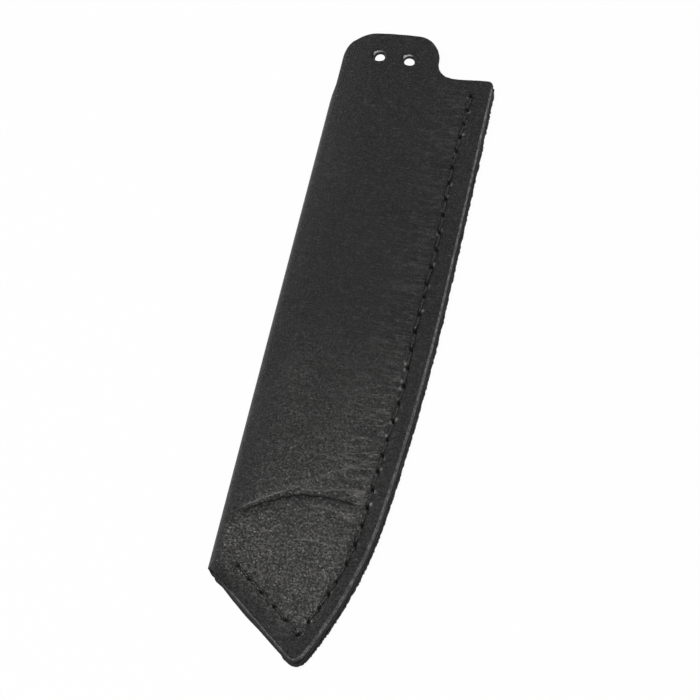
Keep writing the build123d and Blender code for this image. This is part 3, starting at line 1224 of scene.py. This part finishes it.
    def punch(self, x: Array, y: Array, cells: Array, centre: Pair) -> None:
        """Open a round hole: the block of cells on it goes, and the rings of points round the block close
        in on the circle, each by its share of the way out.

        Args:
            x: Places across, changed in place.
            y: Places along, changed in place.
            cells: Which cells there are, changed in place.
            centre: Middle of the hole.
        """
        rows = np.arange(x.shape[0])
        column_y = y[:, x.shape[1] // 2]
        ends = (centre[1] - self.hole_block, centre[1] + self.hole_block)
        row_low, row_high = (int(np.argmin(np.abs(column_y - end))) for end in ends)
        line = x[(row_low + row_high) // 2]
        ends = (centre[0] + self.hole_block, centre[0] - self.hole_block)
        column_low, column_high = (int(np.argmin(np.abs(line - end))) for end in ends)
        cells[row_low:row_high, column_low:column_high] = False
        columns = np.arange(x.shape[1])
        ring_rows, ring_columns = self.hole_rings
        off_row = np.maximum(np.maximum(row_low - rows, rows - row_high), 0) / ring_rows
        off_column = np.maximum(np.maximum(column_low - columns, columns - column_high), 0) / ring_columns
        share = np.minimum(np.maximum(off_row[:, None], off_column[None]), 1.0)
        offset = np.stack([x - centre[0], y - centre[1]], -1)
        circle = unit(offset) * self.plan.hole_radius
        moved = circle * (1 - share)[..., None] + offset * share[..., None]
        x[:], y[:] = centre[0] + moved[..., 0], centre[1] + moved[..., 1]

    def press(self, x: Array, y: Array, is_front: Array) -> tuple[Array, dict[str, Array]]:
        """Relief of the outer face: seam, creases, slow waves of the hide and drawn-down lace holes.

        Args:
            x: Places across.
            y: Places along.
            is_front: Which points are on the front and the fold's upper half.

        Returns:
            Heights to add, and the marks that the finish reads, among them painted shade, highlights and
            sheen.
        """
        plan = self.plan
        flat_x, flat_y, front = x.ravel(), y.ravel(), is_front.ravel()
        relief, shade, worn = (np.zeros(x.size) for _ in range(3))
        front_seam = SeamRelief(
            plan, 11, furrow_depth=0.5, furrow_width=0.6, slot_depth=1.1, puff=0.2, drawn=0.26
        )
        back_seam = SeamRelief(plan, 12, furrow_depth=0.95, furrow_width=0.75, slot_depth=0.3)
        for face, seam in ((front, front_seam), (~front, back_seam)):
            chosen = face & (flat_x > 2.0) & (flat_y < plan.mouth)
            relief[chosen], shade[chosen], worn[chosen] = seam.at(flat_x[chosen], flat_y[chosen])
        # Crease ridges paint a highlight line, troughs a shade line.
        for crease in FRONT_CREASES:
            lift, line = crease.at(flat_x[front], flat_y[front])
            relief[front] += lift
            worn[front] = np.maximum(worn[front], line * crease.worn)
            shade[front] = np.maximum(shade[front], line * crease.shade)
        waves = sum(lattice(seed, x.shape, period, x.shape) * height for seed, period, height in self.waves)
        free = smooth((plan.edge_x(y) - x - 7.0) / 8.0) * smooth((x - 2.0) / 5.0) * is_front
        relief += (waves * free).ravel()
        for centre in plan.hole_places:
            away = np.hypot(flat_x - centre[0], flat_y - centre[1]) - plan.hole_radius
            relief[front] -= self.hole_sink * bell(np.maximum(away[front], 0.0), self.hole_sink_reach)
        # Painted sheen of the front, and where its wrinkles are drawn.
        painted_sheen, drawn = (find(plan, flat_x, flat_y) * front for find in (self.sheen_and_wrinkles.painted_sheen, self.sheen_and_wrinkles.drawn))
        marks = {"shade": shade, "worn": worn, "painted_sheen": painted_sheen, "drawn": drawn, "front": front.astype(float)}
        return relief.reshape(x.shape), marks


def sample_path(points: Array, step: float, soften: float) -> Array:
    """Round the corners of a line through points: the line is cut into tiny even steps, each place becomes
    the mean of its neighbours under a bell curve, and the result is cut into even steps again.

    Args:
        points: Corner points.
        step: Length of a step of the result.
        soften: Width of the bell curve.

    Returns:
        Points along the softened line.
    """
    fine = 0.08

    def even(line: Array, size: float) -> Array:
        """Cut a line into even steps.

        Args:
            line: Points of the line.
            size: Length of a step.

        Returns:
            The points between the steps.
        """
        along = np.concatenate([[0.0], np.cumsum(np.linalg.norm(np.diff(line, axis=0), axis=1))])
        spots = np.linspace(0.0, along[-1], max(int(round(along[-1] / size)), 2) + 1)
        return np.stack([np.interp(spots, along, line[:, axis]) for axis in range(3)], -1)

    dense = even(points, fine)
    reach = int(3 * soften / fine)
    weights = bell(np.arange(-reach, reach + 1) * fine, soften * np.sqrt(2))
    weights /= weights.sum()
    padded = np.vstack([np.repeat(dense[:1], reach, 0), dense, np.repeat(dense[-1:], reach, 0)])
    soft = np.stack([np.convolve(padded[:, axis], weights, "valid") for axis in range(3)], -1)
    return even(soft, step)


def tube_faces(rings: int, sides: int) -> Array:
    """Join rings of points to a tube, with both ends closed by strips across.

    Args:
        rings: Number of rings.
        sides: Points of each ring, an even number.

    Returns:
        Faces of four points each.
    """
    grid = np.arange(rings * sides).reshape(rings, sides)
    after = np.roll(grid, -1, axis=1)
    walls = np.stack([grid[:-1], after[:-1], after[1:], grid[1:]], -1).reshape(-1, 4)
    span = np.arange(sides // 2 - 1)
    cap = np.stack([span, span + 1, sides - 2 - span, sides - 1 - span], -1)
    return np.vstack([walls, grid[0][cap][:, ::-1], grid[-1][cap]])


@dataclass
class SaddleThread:
    """The waxed thread: one twisted line through all slots, its halves on opposite sides at each stitch."""

    plan: GuardPlan
    radius: float = 0.36
    plies: int = 3
    twist_length: float = 3.4
    sides: int = 12
    step: float = 0.28
    soften: float = 0.3
    sway: float = 0.14
    slot_room: float = 0.1
    lobe: float = 0.14
    climb_starts: float = 0.02
    climb_ends: float = 0.14
    climb_share: float = 0.6
    front_sink: float = 0.12
    front_dip: float = 0.14
    back_level: float = 0.52
    back_rise: float = 0.02

    def half(self, front_first: bool) -> list[Array]:
        """Corner points of one half of the thread from the mouth to the fold.

        Args:
            front_first: Whether its first run is on the front.

        Returns:
            Points in millimetres.
        """
        plan = self.plan
        centre, _along = plan.holes
        slot = plan.slot_lines
        offset, middle = self.radius + self.slot_room, plan.stack / 2
        sway = np.random.default_rng(21 if front_first else 22).uniform(-self.sway, self.sway, len(centre))
        points: list[Array] = []
        on_front = front_first
        for index in range(len(centre) - 1):
            sign = 1 if on_front else -1
            level = plan.stack - self.front_sink if on_front else self.back_level
            centre_level = level - self.front_dip if on_front else level + self.back_rise
            first = centre[index] + slot[index] * offset * sign
            run = centre[index + 1] - slot[index + 1] * offset * sign - first
            bow = np.array([-run[1], run[0]]) / np.linalg.norm(run) * sway[index]
            near = middle + (level - middle) * self.climb_share
            up = ((0.0, middle), (self.climb_starts, near), (self.climb_ends, level))
            climb = (*up, (0.5, centre_level), *((1 - share, height) for share, height in up[::-1]))
            for share, height in climb:
                points.append(np.array([*(first + run * share + bow * (share == 0.5)), height]))
            on_front = not on_front
        return points

    def build(self) -> bpy.types.Object:
        """Carry a profile of three round lobes along the thread's line, turning evenly about it.

        Returns:
            The finished mesh object.
        """
        corners = np.array(self.half(False)[::-1] + self.half(True))
        line = sample_path(corners, self.step, self.soften)
        run = unit(np.gradient(line, axis=0))
        across = unit(np.cross(run, np.array(UNLIKE_ANY_RUN)))
        upright = np.cross(run, across)
        along = np.arange(len(line)) * self.step
        turn = 2 * np.pi * along / self.twist_length
        angle = np.linspace(0, 2 * np.pi, self.sides, endpoint=False)
        lobes = self.radius * (1 - self.lobe + self.lobe * np.cos(self.plies * angle))
        spin = angle[None] + turn[:, None]
        ring = across[:, None] * np.cos(spin)[..., None] + upright[:, None] * np.sin(spin)[..., None]
        points = (line[:, None] + ring * lobes[None, :, None]).reshape(-1, 3)
        faces = tube_faces(len(line), self.sides)
        # Share of the painted highlight: most on each ply's crest.
        ply_highlight = np.tile(0.5 + 0.5 * np.cos(self.plies * angle), len(line))
        LOG.info("twisted thread: %d faces, %.0f mm long", len(faces), along[-1])
        return make_mesh("twisted_thread", self.plan.world(*points.T), faces, {"ply_highlight": ply_highlight})


@dataclass
class EdgeWelt:
    """The strip between the panels, along the stitched edge and the tip cut, with a rough cut side."""

    plan: GuardPlan
    inset: float = -0.02
    width: float = 8.6
    fold_gap: float = 4.8
    mouth_gap: float = 0.25
    lift: float = 0.02
    corner_radius: float = 3.35
    inner_radius: float = 4.0
    corner_share: float = 0.45
    step: float = 0.5
    side_levels: int = 6
    top_shares: tuple[float, ...] = (0.25, 0.6, 1.0)
    rough: float = 0.05
    bulge: float = 0.12
    wave: float = 0.14

    def outline(self, inside: float, radius: float) -> Array:
        """Line inside the edge and the tip cut, with its corner rounded.

        Args:
            inside: How far the line lies inside.
            radius: Radius of its corner.

        Returns:
            Points from the mouth to beside the fold, as many for every line.
        """
        plan = self.plan
        count = int(plan.tip_distance / self.step)
        corner = plan.corner(inside, inside)
        down = np.linspace(0.0, corner, count)
        point, out = plan.edge(down)
        point = point - out * inside
        point[0, 1] = plan.mouth - self.mouth_gap
        reach = (point[-1, 0] - self.fold_gap) / np.cos(plan.tip_angle)
        tip = point[-1] + plan.along_tip * np.linspace(0, reach, count // 4)[1:, None]
        line = np.vstack([point, tip])
        flat = np.hstack([line, np.zeros((len(line), 1))])
        soft = sample_path(flat, self.step, radius * self.corner_share)[:, :2]
        return soft[np.linspace(0, len(soft) - 1, count).round().astype(int)]

    def build(self) -> bpy.types.Object:
        """Join the outer and the inner line by a profile with a rough outer side, closed at both ends.

        Returns:
            The finished mesh object.
        """
        plan = self.plan
        outer = self.outline(self.inset, self.corner_radius)
        inner = self.outline(self.width, self.inner_radius)
        low, high = plan.leather + self.lift, plan.leather + plan.welt
        levels = np.linspace(0.0, 1.0, self.side_levels)
        count = len(outer)
        size = (count, len(levels))
        bulge = self.bulge * np.sin(np.pi * levels)[None]
        bulge = bulge + np.random.default_rng(31).normal(0, self.rough, size)
        bulge = bulge + self.wave * lattice(33, size, (7.0, 2.0), size)
        side = outer[:, None] - unit(inner - outer)[:, None] * bulge[..., None]
        top = outer[:, None] + (inner - outer)[:, None] * np.array(self.top_shares)[None, :, None]
        flat = np.ones(len(self.top_shares))
        heights = np.concatenate([low + (high - low) * levels, high * flat, low * flat])
        across, along = np.concatenate([side, top, top[:, ::-1]], 1).reshape(-1, 2).T
        points = plan.world(across, along, np.tile(heights, count))
        faces = tube_faces(count, len(heights))
        LOG.info("edge welt: %d faces", len(faces))
        return make_mesh("welt_strip", points, faces, {})


Input = Any


@dataclass(frozen=True)
class Signal:
    """A number on a shader socket. Arithmetic on it adds the Math nodes for the expression."""

    bench: "NodeBench"
    socket: bpy.types.NodeSocket

    def math(self, operation: str, first: Input, second: Input) -> "Signal":
        """Result of a Math node on two values."""
        node = self.bench.add("ShaderNodeMath", {"operation": operation}, {0: first, 1: second})
        return Signal(self.bench, node.outputs[0])

    def __add__(self, other: Input) -> "Signal":
        """Sum."""
        return self.math("ADD", self, other)

    __radd__ = __add__

    def __sub__(self, other: Input) -> "Signal":
        """Difference."""
        return self.math("SUBTRACT", self, other)

    def __rsub__(self, other: Input) -> "Signal":
        """Difference from a number."""
        return self.math("SUBTRACT", other, self)

    def __mul__(self, other: Input) -> "Signal":
        """Product."""
        return self.math("MULTIPLY", self, other)

    __rmul__ = __mul__

    def __pow__(self, other: Input) -> "Signal":
        """Power."""
        return self.math("POWER", self, other)

    def size(self) -> "Signal":
        """Distance from 0."""
        return self.math("ABSOLUTE", self, 0.0)

    def larger(self, other: Input) -> "Signal":
        """The larger of two."""
        return self.math("MAXIMUM", self, other)

    def within(self, low: float, high: float) -> "Signal":
        """Rescale and keep between 0 and 1.

        Args:
            low: Value that becomes 0.
            high: Value that becomes 1.

        Returns:
            The new value.
        """
        inputs = {"Value": self, "From Min": low, "From Max": high}
        node = self.bench.add("ShaderNodeMapRange", {"clamp": True}, inputs)
        return Signal(self.bench, node.outputs[0])


class NodeBench:
    """Adds nodes and links to a tree."""

    def __init__(self, tree: bpy.types.NodeTree) -> None:
        """Keep the tree that nodes are added to."""
        self.tree = tree

    def add(
        self,
        kind: str,
        settings: Mapping[str, Any] | None = None,
        inputs: Mapping[str | int, Input] | None = None,
    ) -> bpy.types.Node:
        """Add a node.

        Args:
            kind: Type of the node.
            settings: Its settings, set first.
            inputs: Values or links of its sockets, by name or number.

        Returns:
            The node.
        """
        node = self.tree.nodes.new(kind)
        for name, value in (settings or {}).items():
            setattr(node, name, value)
        for key, value in (inputs or {}).items():
            self.feed(node.inputs[key], value)
        return node

    def feed(self, socket: bpy.types.NodeSocket, value: Input) -> None:
        """Give a socket a value or a link.

        Args:
            socket: The socket.
            value: A number, a colour, a Signal or another socket.
        """
        if isinstance(value, Signal):
            self.tree.links.new(value.socket, socket)
        elif isinstance(value, bpy.types.NodeSocket):
            self.tree.links.new(value, socket)
        else:
            socket.default_value = value

    def seen_by(self, *rays: str) -> Signal:
        """Tell kinds of rays apart.

        Args:
            rays: Names of the kinds.

        Returns:
            1 for rays of these kinds, 0 for the others.
        """
        kinds = self.add("ShaderNodeLightPath").outputs
        seen = Signal(self, kinds[f"Is {rays[0]} Ray"])
        for name in rays[1:]:
            seen = seen.larger(kinds[f"Is {name} Ray"])
        return seen


class ShaderBench(NodeBench):
    """Builds one material's node tree."""

    def __init__(self, name: str) -> None:
        """Start a material with a Principled shader.

        Args:
            name: Name of the material.
        """
        self.material = bpy.data.materials.new(name)
        self.material.use_nodes = True
        super().__init__(self.material.node_tree)
        self.shader = self.tree.nodes["Principled BSDF"]

    @cached_property
    def place(self) -> bpy.types.NodeSocket:
        """Object coordinates."""
        return self.add("ShaderNodeTexCoord").outputs["Object"]

    def mix(self, share: Input, first: Input, second: Input) -> bpy.types.NodeSocket:
        """Colour between two by a share."""
        inputs = {0: share, 6: first, 7: second}
        return self.add("ShaderNodeMix", {"data_type": "RGBA", "clamp_factor": True}, inputs).outputs[2]

    def mark(self, name: str) -> Signal:
        """A number kept on the mesh's points."""
        return Signal(self, self.add("ShaderNodeAttribute", {"attribute_name": name}).outputs["Fac"])

    def noise(self, size: float, detail: float = 3.0, roughness: float = 0.55) -> Signal:
        """Noise whose patches are about a size across, in metres."""
        inputs = {"Vector": self.place, "Scale": 1 / size, "Detail": detail, "Roughness": roughness}
        return Signal(self, self.add("ShaderNodeTexNoise", {}, inputs).outputs["Fac"])

    def cells(self, size: float) -> Signal:
        """Cells whose edges are made crooked by noise.

        Args:
            size: Size of a cell, in metres.

        Returns:
            Distance from the nearest edge, in cells.
        """
        warp = self.add("ShaderNodeTexNoise", {}, {"Vector": self.place, "Scale": 0.6 / size, "Detail": 1.0})
        scaled = {0: warp.outputs["Color"], "Scale": size * 0.8}
        bent = self.add("ShaderNodeVectorMath", {"operation": "SCALE"}, scaled)
        spot = self.add("ShaderNodeVectorMath", {"operation": "ADD"}, {0: self.place, 1: bent.outputs[0]})
        inputs = {"Vector": spot.outputs[0], "Scale": 1 / size}
        cells = self.add("ShaderNodeTexVoronoi", {"feature": "DISTANCE_TO_EDGE"}, inputs)
        return Signal(self, cells.outputs["Distance"])

    def wrinkles(self, width: float, length: float) -> Signal:
        """Thin ridges that run across the guard: the places where stretched noise is near its middle.

        Args:
            width: Mean distance between ridges, in metres.
            length: Mean length of a ridge, in metres.

        Returns:
            1 on a ridge, 0 beside it.
        """
        stretch = {0: self.place, 1: (1 / length, 1 / width, 0)}
        scale = self.add("ShaderNodeVectorMath", {"operation": "MULTIPLY"}, stretch)
        noise = self.add("ShaderNodeTexNoise", {}, {"Vector": scale.outputs[0], "Scale": 1.0, "Detail": 2.0})
        return (Signal(self, noise.outputs["Fac"]) - 0.5).size().within(0.045, 0.0)

    @cached_property
    def flat(self) -> tuple[Signal, Signal]:
        """Places across and along the guard, in metres, those along made a little crooked by noise."""
        place = self.add("ShaderNodeSeparateXYZ", {}, {0: self.place}).outputs
        return Signal(self, place[0]), Signal(self, place[1]) + (self.noise(0.004, 2.0) - 0.5) * 0.0011

    def stroke(self, through: Array, width: float) -> Signal:
        """A fine line across the guard: the cubic that fits a few places.

        Args:
            through: The places in metres, from the fold's side to the edge's.
            width: Half the width of the line, in metres.

        Returns:
            1 on the line, 0 beside it and at its ends.
        """
        across, along = self.flat
        factors = [float(factor) for factor in np.polyfit(*through.T, min(3, len(through) - 1))]
        level: Input = factors[0]
        for factor in factors[1:]:
            level = level * across + factor
        line = (along - level).size().within(width, 0.0)
        first, last = float(through[0, 0]), float(through[-1, 0])
        return line * across.within(first, first + STROKE_END) * across.within(last, last - STROKE_END)

    def bump(self, height: Input, strength: float, depth: float) -> None:
        """Feed the shader's Normal from a height field, with its depth in metres."""
        node = self.add("ShaderNodeBump", {}, {"Strength": strength, "Distance": depth, "Height": height})
        self.feed(self.shader.inputs["Normal"], node.outputs["Normal"])

    def set(self, **values: Input) -> None:
        """Give the shader's sockets values or links, by name with _ for a space."""
        for name, value in values.items():
            self.feed(self.shader.inputs[name.replace("_", " ")], value)


def grey(level: float, warmth: float = 0.0) -> tuple[float, float, float, float]:
    """Near-neutral colour of a brightness, a little warmer if asked."""
    return (level * (1 + warmth), level, level * (1 - warmth), 1.0)


@dataclass(frozen=True)
class HideFinish:
    """Black hide with a fine grain, a dull sheen, raw cut edges and a wrinkled front, with painted sheen,
    highlights and shade.
    """

    dark: float = 0.002
    light: float = 0.014
    # Greys of the painted sheen, of painted glints and ridge highlights, of painted highlight lines and of
    # painted shade.
    sheen_dark: float = 0.016
    sheen_light: float = 0.35
    worn: float = 0.62
    line: float = 0.3
    shaded: float = 0.002
    cut_dark: float = 0.01
    cut_light: float = 0.09
    # Greys of the painted highlight on the burnished bevel, and of the painted highlight in the lace holes.
    bevel_highlight_low: float = 0.06
    bevel_highlight_high: float = 0.42
    painted_highlight: float = 0.75
    flesh_dark: float = 0.018
    flesh_light: float = 0.034
    warmth: float = 0.03
    grain: float = 0.0009
    wrinkle_size: Pair = (0.0024, 0.016)
    crepe_size: Pair = (0.001, 0.0032)
    roughness: float = 0.36
    bump_depth: float = 0.00036

    def between(self, bench: ShaderBench, share: Input, dark: float, light: float) -> bpy.types.NodeSocket:
        """Mix two of the hide's greys by a share."""
        return bench.mix(share, grey(dark, self.warmth), grey(light, self.warmth))

    def lines(self, bench: ShaderBench, plan: GuardPlan, front: Signal) -> tuple[Signal, Signal]:
        """Add up the fine lines of the front panel.

        Args:
            bench: Bench of the material.
            plan: Sizes that place the lines.
            front: 1 on the front, 0 elsewhere.

        Returns:
            How strongly the lines paint a highlight and a shade on each place, 0 to 1.
        """
        strokes: dict[bool, list[Signal]] = {True: [], False: []}
        for wrinkle in FRONT_WRINKLES:
            x, y = np.array(wrinkle.through).T
            line = bench.stroke(plan.world(x, y, np.zeros(len(x)))[:, :2], wrinkle.width * MM) * front
            strokes[wrinkle.strength > 0].append(line * abs(wrinkle.strength))
        pale, dark = (sum(kind[1:], kind[0]).within(0.0, 1.0) for kind in strokes.values())
        return pale, dark

    def raw(self, bench: ShaderBench, fibre: Signal) -> bpy.types.NodeSocket:
        """Colour the cut edges: dark fibres, a painted highlight on the burnished bevel and another in the
        lace holes.

        Args:
            bench: Bench of the material.
            fibre: Fine noise.

        Returns:
            The colour.
        """
        streak = bench.noise(0.0016, 2.0).within(0.38, 0.62)
        raw = bench.mix(fibre * (0.4 + 0.6 * streak), grey(self.cut_dark), grey(self.cut_light, 0.02))
        bevel_highlight = bench.mix(fibre * (0.3 + 0.7 * streak), grey(self.bevel_highlight_low), grey(self.bevel_highlight_high))
        raw = bench.mix(bench.mark("bevel"), raw, bevel_highlight)
        return bench.mix(bench.mark("painted_highlight"), raw, grey(self.painted_highlight))

    def material(self, plan: GuardPlan) -> bpy.types.Material:
        """Build the material: colours laid over each other by shares, and a height field for the grain and
        lines.

        Args:
            plan: Sizes that place the fine lines.

        Returns:
            The material.
        """
        bench = ShaderBench("black_hide")
        names = ("shade", "worn", "painted_sheen", "drawn", "front", "cut", "inside")
        shade, worn, painted_sheen, drawn, front, cut, inside = (bench.mark(name) for name in names)
        highlight_line, shade_line = self.lines(bench, plan, front)
        blotch = bench.noise(0.02, 2.0).within(0.35, 0.68)
        speck = bench.noise(0.0007, 2.0, 0.7).within(0.38, 0.64)
        pores = bench.cells(self.grain).within(0.0, 0.35)
        fibre = bench.noise(0.0004, 3.0, 0.7).within(0.32, 0.7)
        patchy = 0.35 + 0.65 * fibre
        wrinkle = bench.wrinkles(*self.wrinkle_size) * drawn
        crepe = bench.wrinkles(*self.crepe_size) * front
        # Flecked grey of the painted sheen.
        sheen_fleck = (speck * (0.4 + 0.6 * pores)) ** 1.4
        pale = self.between(bench, sheen_fleck, self.sheen_dark, self.sheen_light)
        highlight_grey = grey(self.worn, 0.02)
        # Layers in order: painted sheen; crepe; painted glints and painted highlights on crease ridges and
        # drawn wrinkles; painted highlight lines; painted shade in the seam, creases and shade lines; cut
        # edges; flesh side.
        layers = (
            (painted_sheen * (0.65 + 0.35 * blotch), pale),
            (0.13 * crepe * fibre, highlight_grey),
            (worn * patchy + 0.4 * wrinkle * fibre, highlight_grey),
            (highlight_line * patchy, grey(self.line, 0.02)),
            (shade.larger(shade_line), grey(self.shaded)),
            (cut, self.raw(bench, fibre)),
            (inside, bench.mix(fibre, grey(self.flesh_dark, self.warmth), grey(self.flesh_light, 0.04))),
        )
        base = self.between(bench, blotch * 0.3 + speck * 0.7, self.dark, self.light)
        for share, colour in layers:
            base = bench.mix(share, base, colour)
        matt = 0.3 * cut + 0.3 * inside + 0.35 * shade + 0.2 * shade_line
        roughness = self.roughness + 0.18 * bench.noise(0.0012, 2.0) + matt
        bench.set(Base_Color=base, Roughness=roughness, IOR=1.45)
        height = pores * 0.6 + speck * 0.5 + bench.noise(0.0022, 2.0) * 0.8 + fibre * cut * 0.8 + wrinkle
        height = height + 0.8 * highlight_line - 1.1 * shade_line + 0.9 * crepe
        bench.bump(height, 1.0, self.bump_depth)
        return bench.material


@dataclass(frozen=True)
class WeltFinish:
    """Rough cut side of the strip between the panels."""

    dark: float = 0.008
    light: float = 0.035

    def material(self) -> bpy.types.Material:
        """Build the material.

        Returns:
            The material.
        """
        bench = ShaderBench("welt_edge")
        fibre = bench.noise(0.0003, 3.0, 0.7).within(0.32, 0.7)
        streak = bench.noise(0.0035, 2.0).within(0.35, 0.7)
        bench.set(Base_Color=bench.mix(fibre * 0.6 + streak * 0.4, grey(self.dark), grey(self.light, 0.03)))
        bench.set(Roughness=0.75 + 0.2 * fibre, IOR=1.4)
        bench.bump(fibre + streak * 0.6, 0.8, 0.0002)
        return bench.material


@dataclass(frozen=True)
class ThreadFinish:
    """Black waxed thread with a painted highlight along the crest of each ply."""

    dark: float = 0.005
    # Lighter grey, painted most on the plies' crests as a highlight.
    light: float = 0.04

    def material(self) -> bpy.types.Material:
        """Build the material.

        Returns:
            The material.
        """
        bench = ShaderBench("waxed_thread")
        ply_highlight = bench.mark("ply_highlight")
        fibre = bench.noise(0.00025, 2.0, 0.6).within(0.3, 0.7)
        # Painted highlight along each ply's crest, mottled by fibres.
        bench.set(Base_Color=bench.mix(ply_highlight * 0.6 + fibre * 0.4, grey(self.dark), grey(self.light)))
        bench.set(Roughness=0.22 + 0.25 * fibre, IOR=1.5)
        bench.bump(fibre, 0.4, 0.00005)
        return bench.material


@dataclass(frozen=True)
class Studio:
    """White table, pale surroundings, soft lamps and the camera."""

    aim: tuple[float, float, float] = (0.00066, -0.00649, 0.00524)
    towards: tuple[float, float, float] = (0.2248, -0.4466, 0.866)
    upward: tuple[float, float, float] = (-0.21496, 0.97662, 0.0)
    distance: float = 0.747
    focal_pixels: float = 2581.0
    image: int = 700
    sensor: float = 36.0
    horizon: float = 0.75
    zenith: float = 0.05
    zenith_from: float = 0.75
    table_half: float = 3.0
    table_height: float = -1e-4
    table_grey: float = 0.82
    table_glow: float = 0.97

    def camera(self) -> None:
        """Place the camera at the photograph's viewing angle."""
        back = unit(np.array(self.towards))
        up = np.array(self.upward)
        up = unit(up - back * up.dot(back))
        right = np.cross(up, back)
        data = bpy.data.cameras.new("studio_camera")
        data.sensor_width = self.sensor
        data.lens = self.focal_pixels * self.sensor / self.image
        data.clip_start, data.clip_end = 0.01, 20.0
        camera = bpy.data.objects.new("studio_camera", data)
        spot = np.array(self.aim) + back * self.distance
        rows = [[right[i], up[i], back[i], spot[i]] for i in range(3)]
        camera.matrix_world = Matrix([*rows, [0.0, 0.0, 0.0, 1.0]])
        bpy.context.scene.collection.objects.link(camera)
        bpy.context.scene.camera = camera

    def lamp(self, name: str, spot: Sequence[float], size: Pair, power: float) -> None:
        """Add a soft rectangular lamp that faces the guard.

        Args:
            name: Name of the lamp.
            spot: Its place.
            size: Its width and height.
            power: Its power in watts.
        """
        data = bpy.data.lights.new(name, "AREA")
        data.shape = "RECTANGLE"
        data.size, data.size_y = size
        data.energy = power
        lamp = bpy.data.objects.new(name, data)
        lamp.location = Vector(spot)
        lamp.rotation_mode = "QUATERNION"
        lamp.rotation_quaternion = (-Vector(spot)).to_track_quat("-Z", "Y")
        bpy.context.scene.collection.objects.link(lamp)

    def lamps(self) -> None:
        """Light from a strong lamp above, and a weak one on the fold's and on the stitched edge's side."""
        self.lamp("lamp_fold_side", (-0.8, 0.3, 0.35), (0.5, 0.6), 1.2)
        self.lamp("lamp_above", (-0.22, -0.18, 0.9), (0.22, 0.22), 5.6)
        self.lamp("lamp_edge_side", (0.75, 0.4, 0.35), (0.6, 0.5), 2.0)

    def table(self) -> None:
        """Wide table top under the guard: nearly pure white to what sees it, and pale to the lamps' light."""
        half, low = self.table_half, self.table_height
        corners = np.array([[-half, -half, low], [half, -half, low], [half, half, low], [-half, half, low]])
        top = make_mesh("table_top", corners, np.array([[0, 1, 2, 3]]), {})
        bench = ShaderBench("pale_table")
        bench.set(Base_Color=grey(self.table_grey), Roughness=0.9)
        glow = bench.add("ShaderNodeEmission", {}, {"Color": grey(1.0), "Strength": 1.0})
        share = bench.seen_by("Camera", "Glossy", "Transmission") * self.table_glow
        surfaces = {0: share, 1: bench.shader.outputs[0], 2: glow.outputs[0]}
        blend = bench.add("ShaderNodeMixShader", {}, surfaces)
        bench.feed(bench.tree.nodes["Material Output"].inputs["Surface"], blend.outputs[0])
        top.data.materials.append(bench.material)

    def world(self) -> None:
        """Surroundings: pale at the horizon, dark above, and white to camera and transmission rays."""
        world = bpy.data.worlds.new("studio_world")
        world.use_nodes = True
        bpy.context.scene.world = world
        bench = NodeBench(world.node_tree)
        way = bench.add("ShaderNodeTexCoord").outputs["Generated"]
        upward = bench.add("ShaderNodeSeparateXYZ", {}, {0: way}).outputs[2]
        rise = Signal(bench, upward).within(0.0, self.zenith_from)
        level = self.horizon + (self.zenith - self.horizon) * rise
        background = world.node_tree.nodes["Background"]
        background.inputs["Color"].default_value = grey(1.0)
        bench.feed(background.inputs["Strength"], level.larger(bench.seen_by("Camera", "Transmission")))

    def build(self) -> None:
        """Set up the whole studio."""
        self.camera()
        self.world()
        self.lamps()
        self.table()
        bpy.context.scene.view_settings.view_transform = "Standard"


@dataclass
class BladeGuard:
    """The whole guard, built from its three pieces."""

    plan: GuardPlan = field(default_factory=GuardPlan)

    def dress(self, piece: bpy.types.Object, finish: bpy.types.Material, node: str) -> None:
        """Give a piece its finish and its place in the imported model.

        Args:
            piece: The piece.
            finish: Its material.
            node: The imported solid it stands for.
        """
        piece.data.materials.append(finish)
        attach(piece, "root")
        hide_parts(node)
        LOG.info("%s stands for %s", piece.name, node)

    def build(self) -> None:
        """Build and dress the pieces in order."""
        plan = self.plan
        self.dress(FoldedHide(plan).build(), HideFinish().material(plan), "folded_leather")
        self.dress(EdgeWelt(plan).build(), WeltFinish().material(), "edge_welt")
        self.dress(SaddleThread(plan).build(), ThreadFinish().material(), "saddle_thread")


def main() -> None:
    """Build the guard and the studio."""
    logging.basicConfig(level=logging.INFO, format="%(name)s: %(message)s")
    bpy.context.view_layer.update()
    BladeGuard().build()
    Studio().build()
    bpy.context.view_layer.update()


if __name__ == "__main__":
    main()
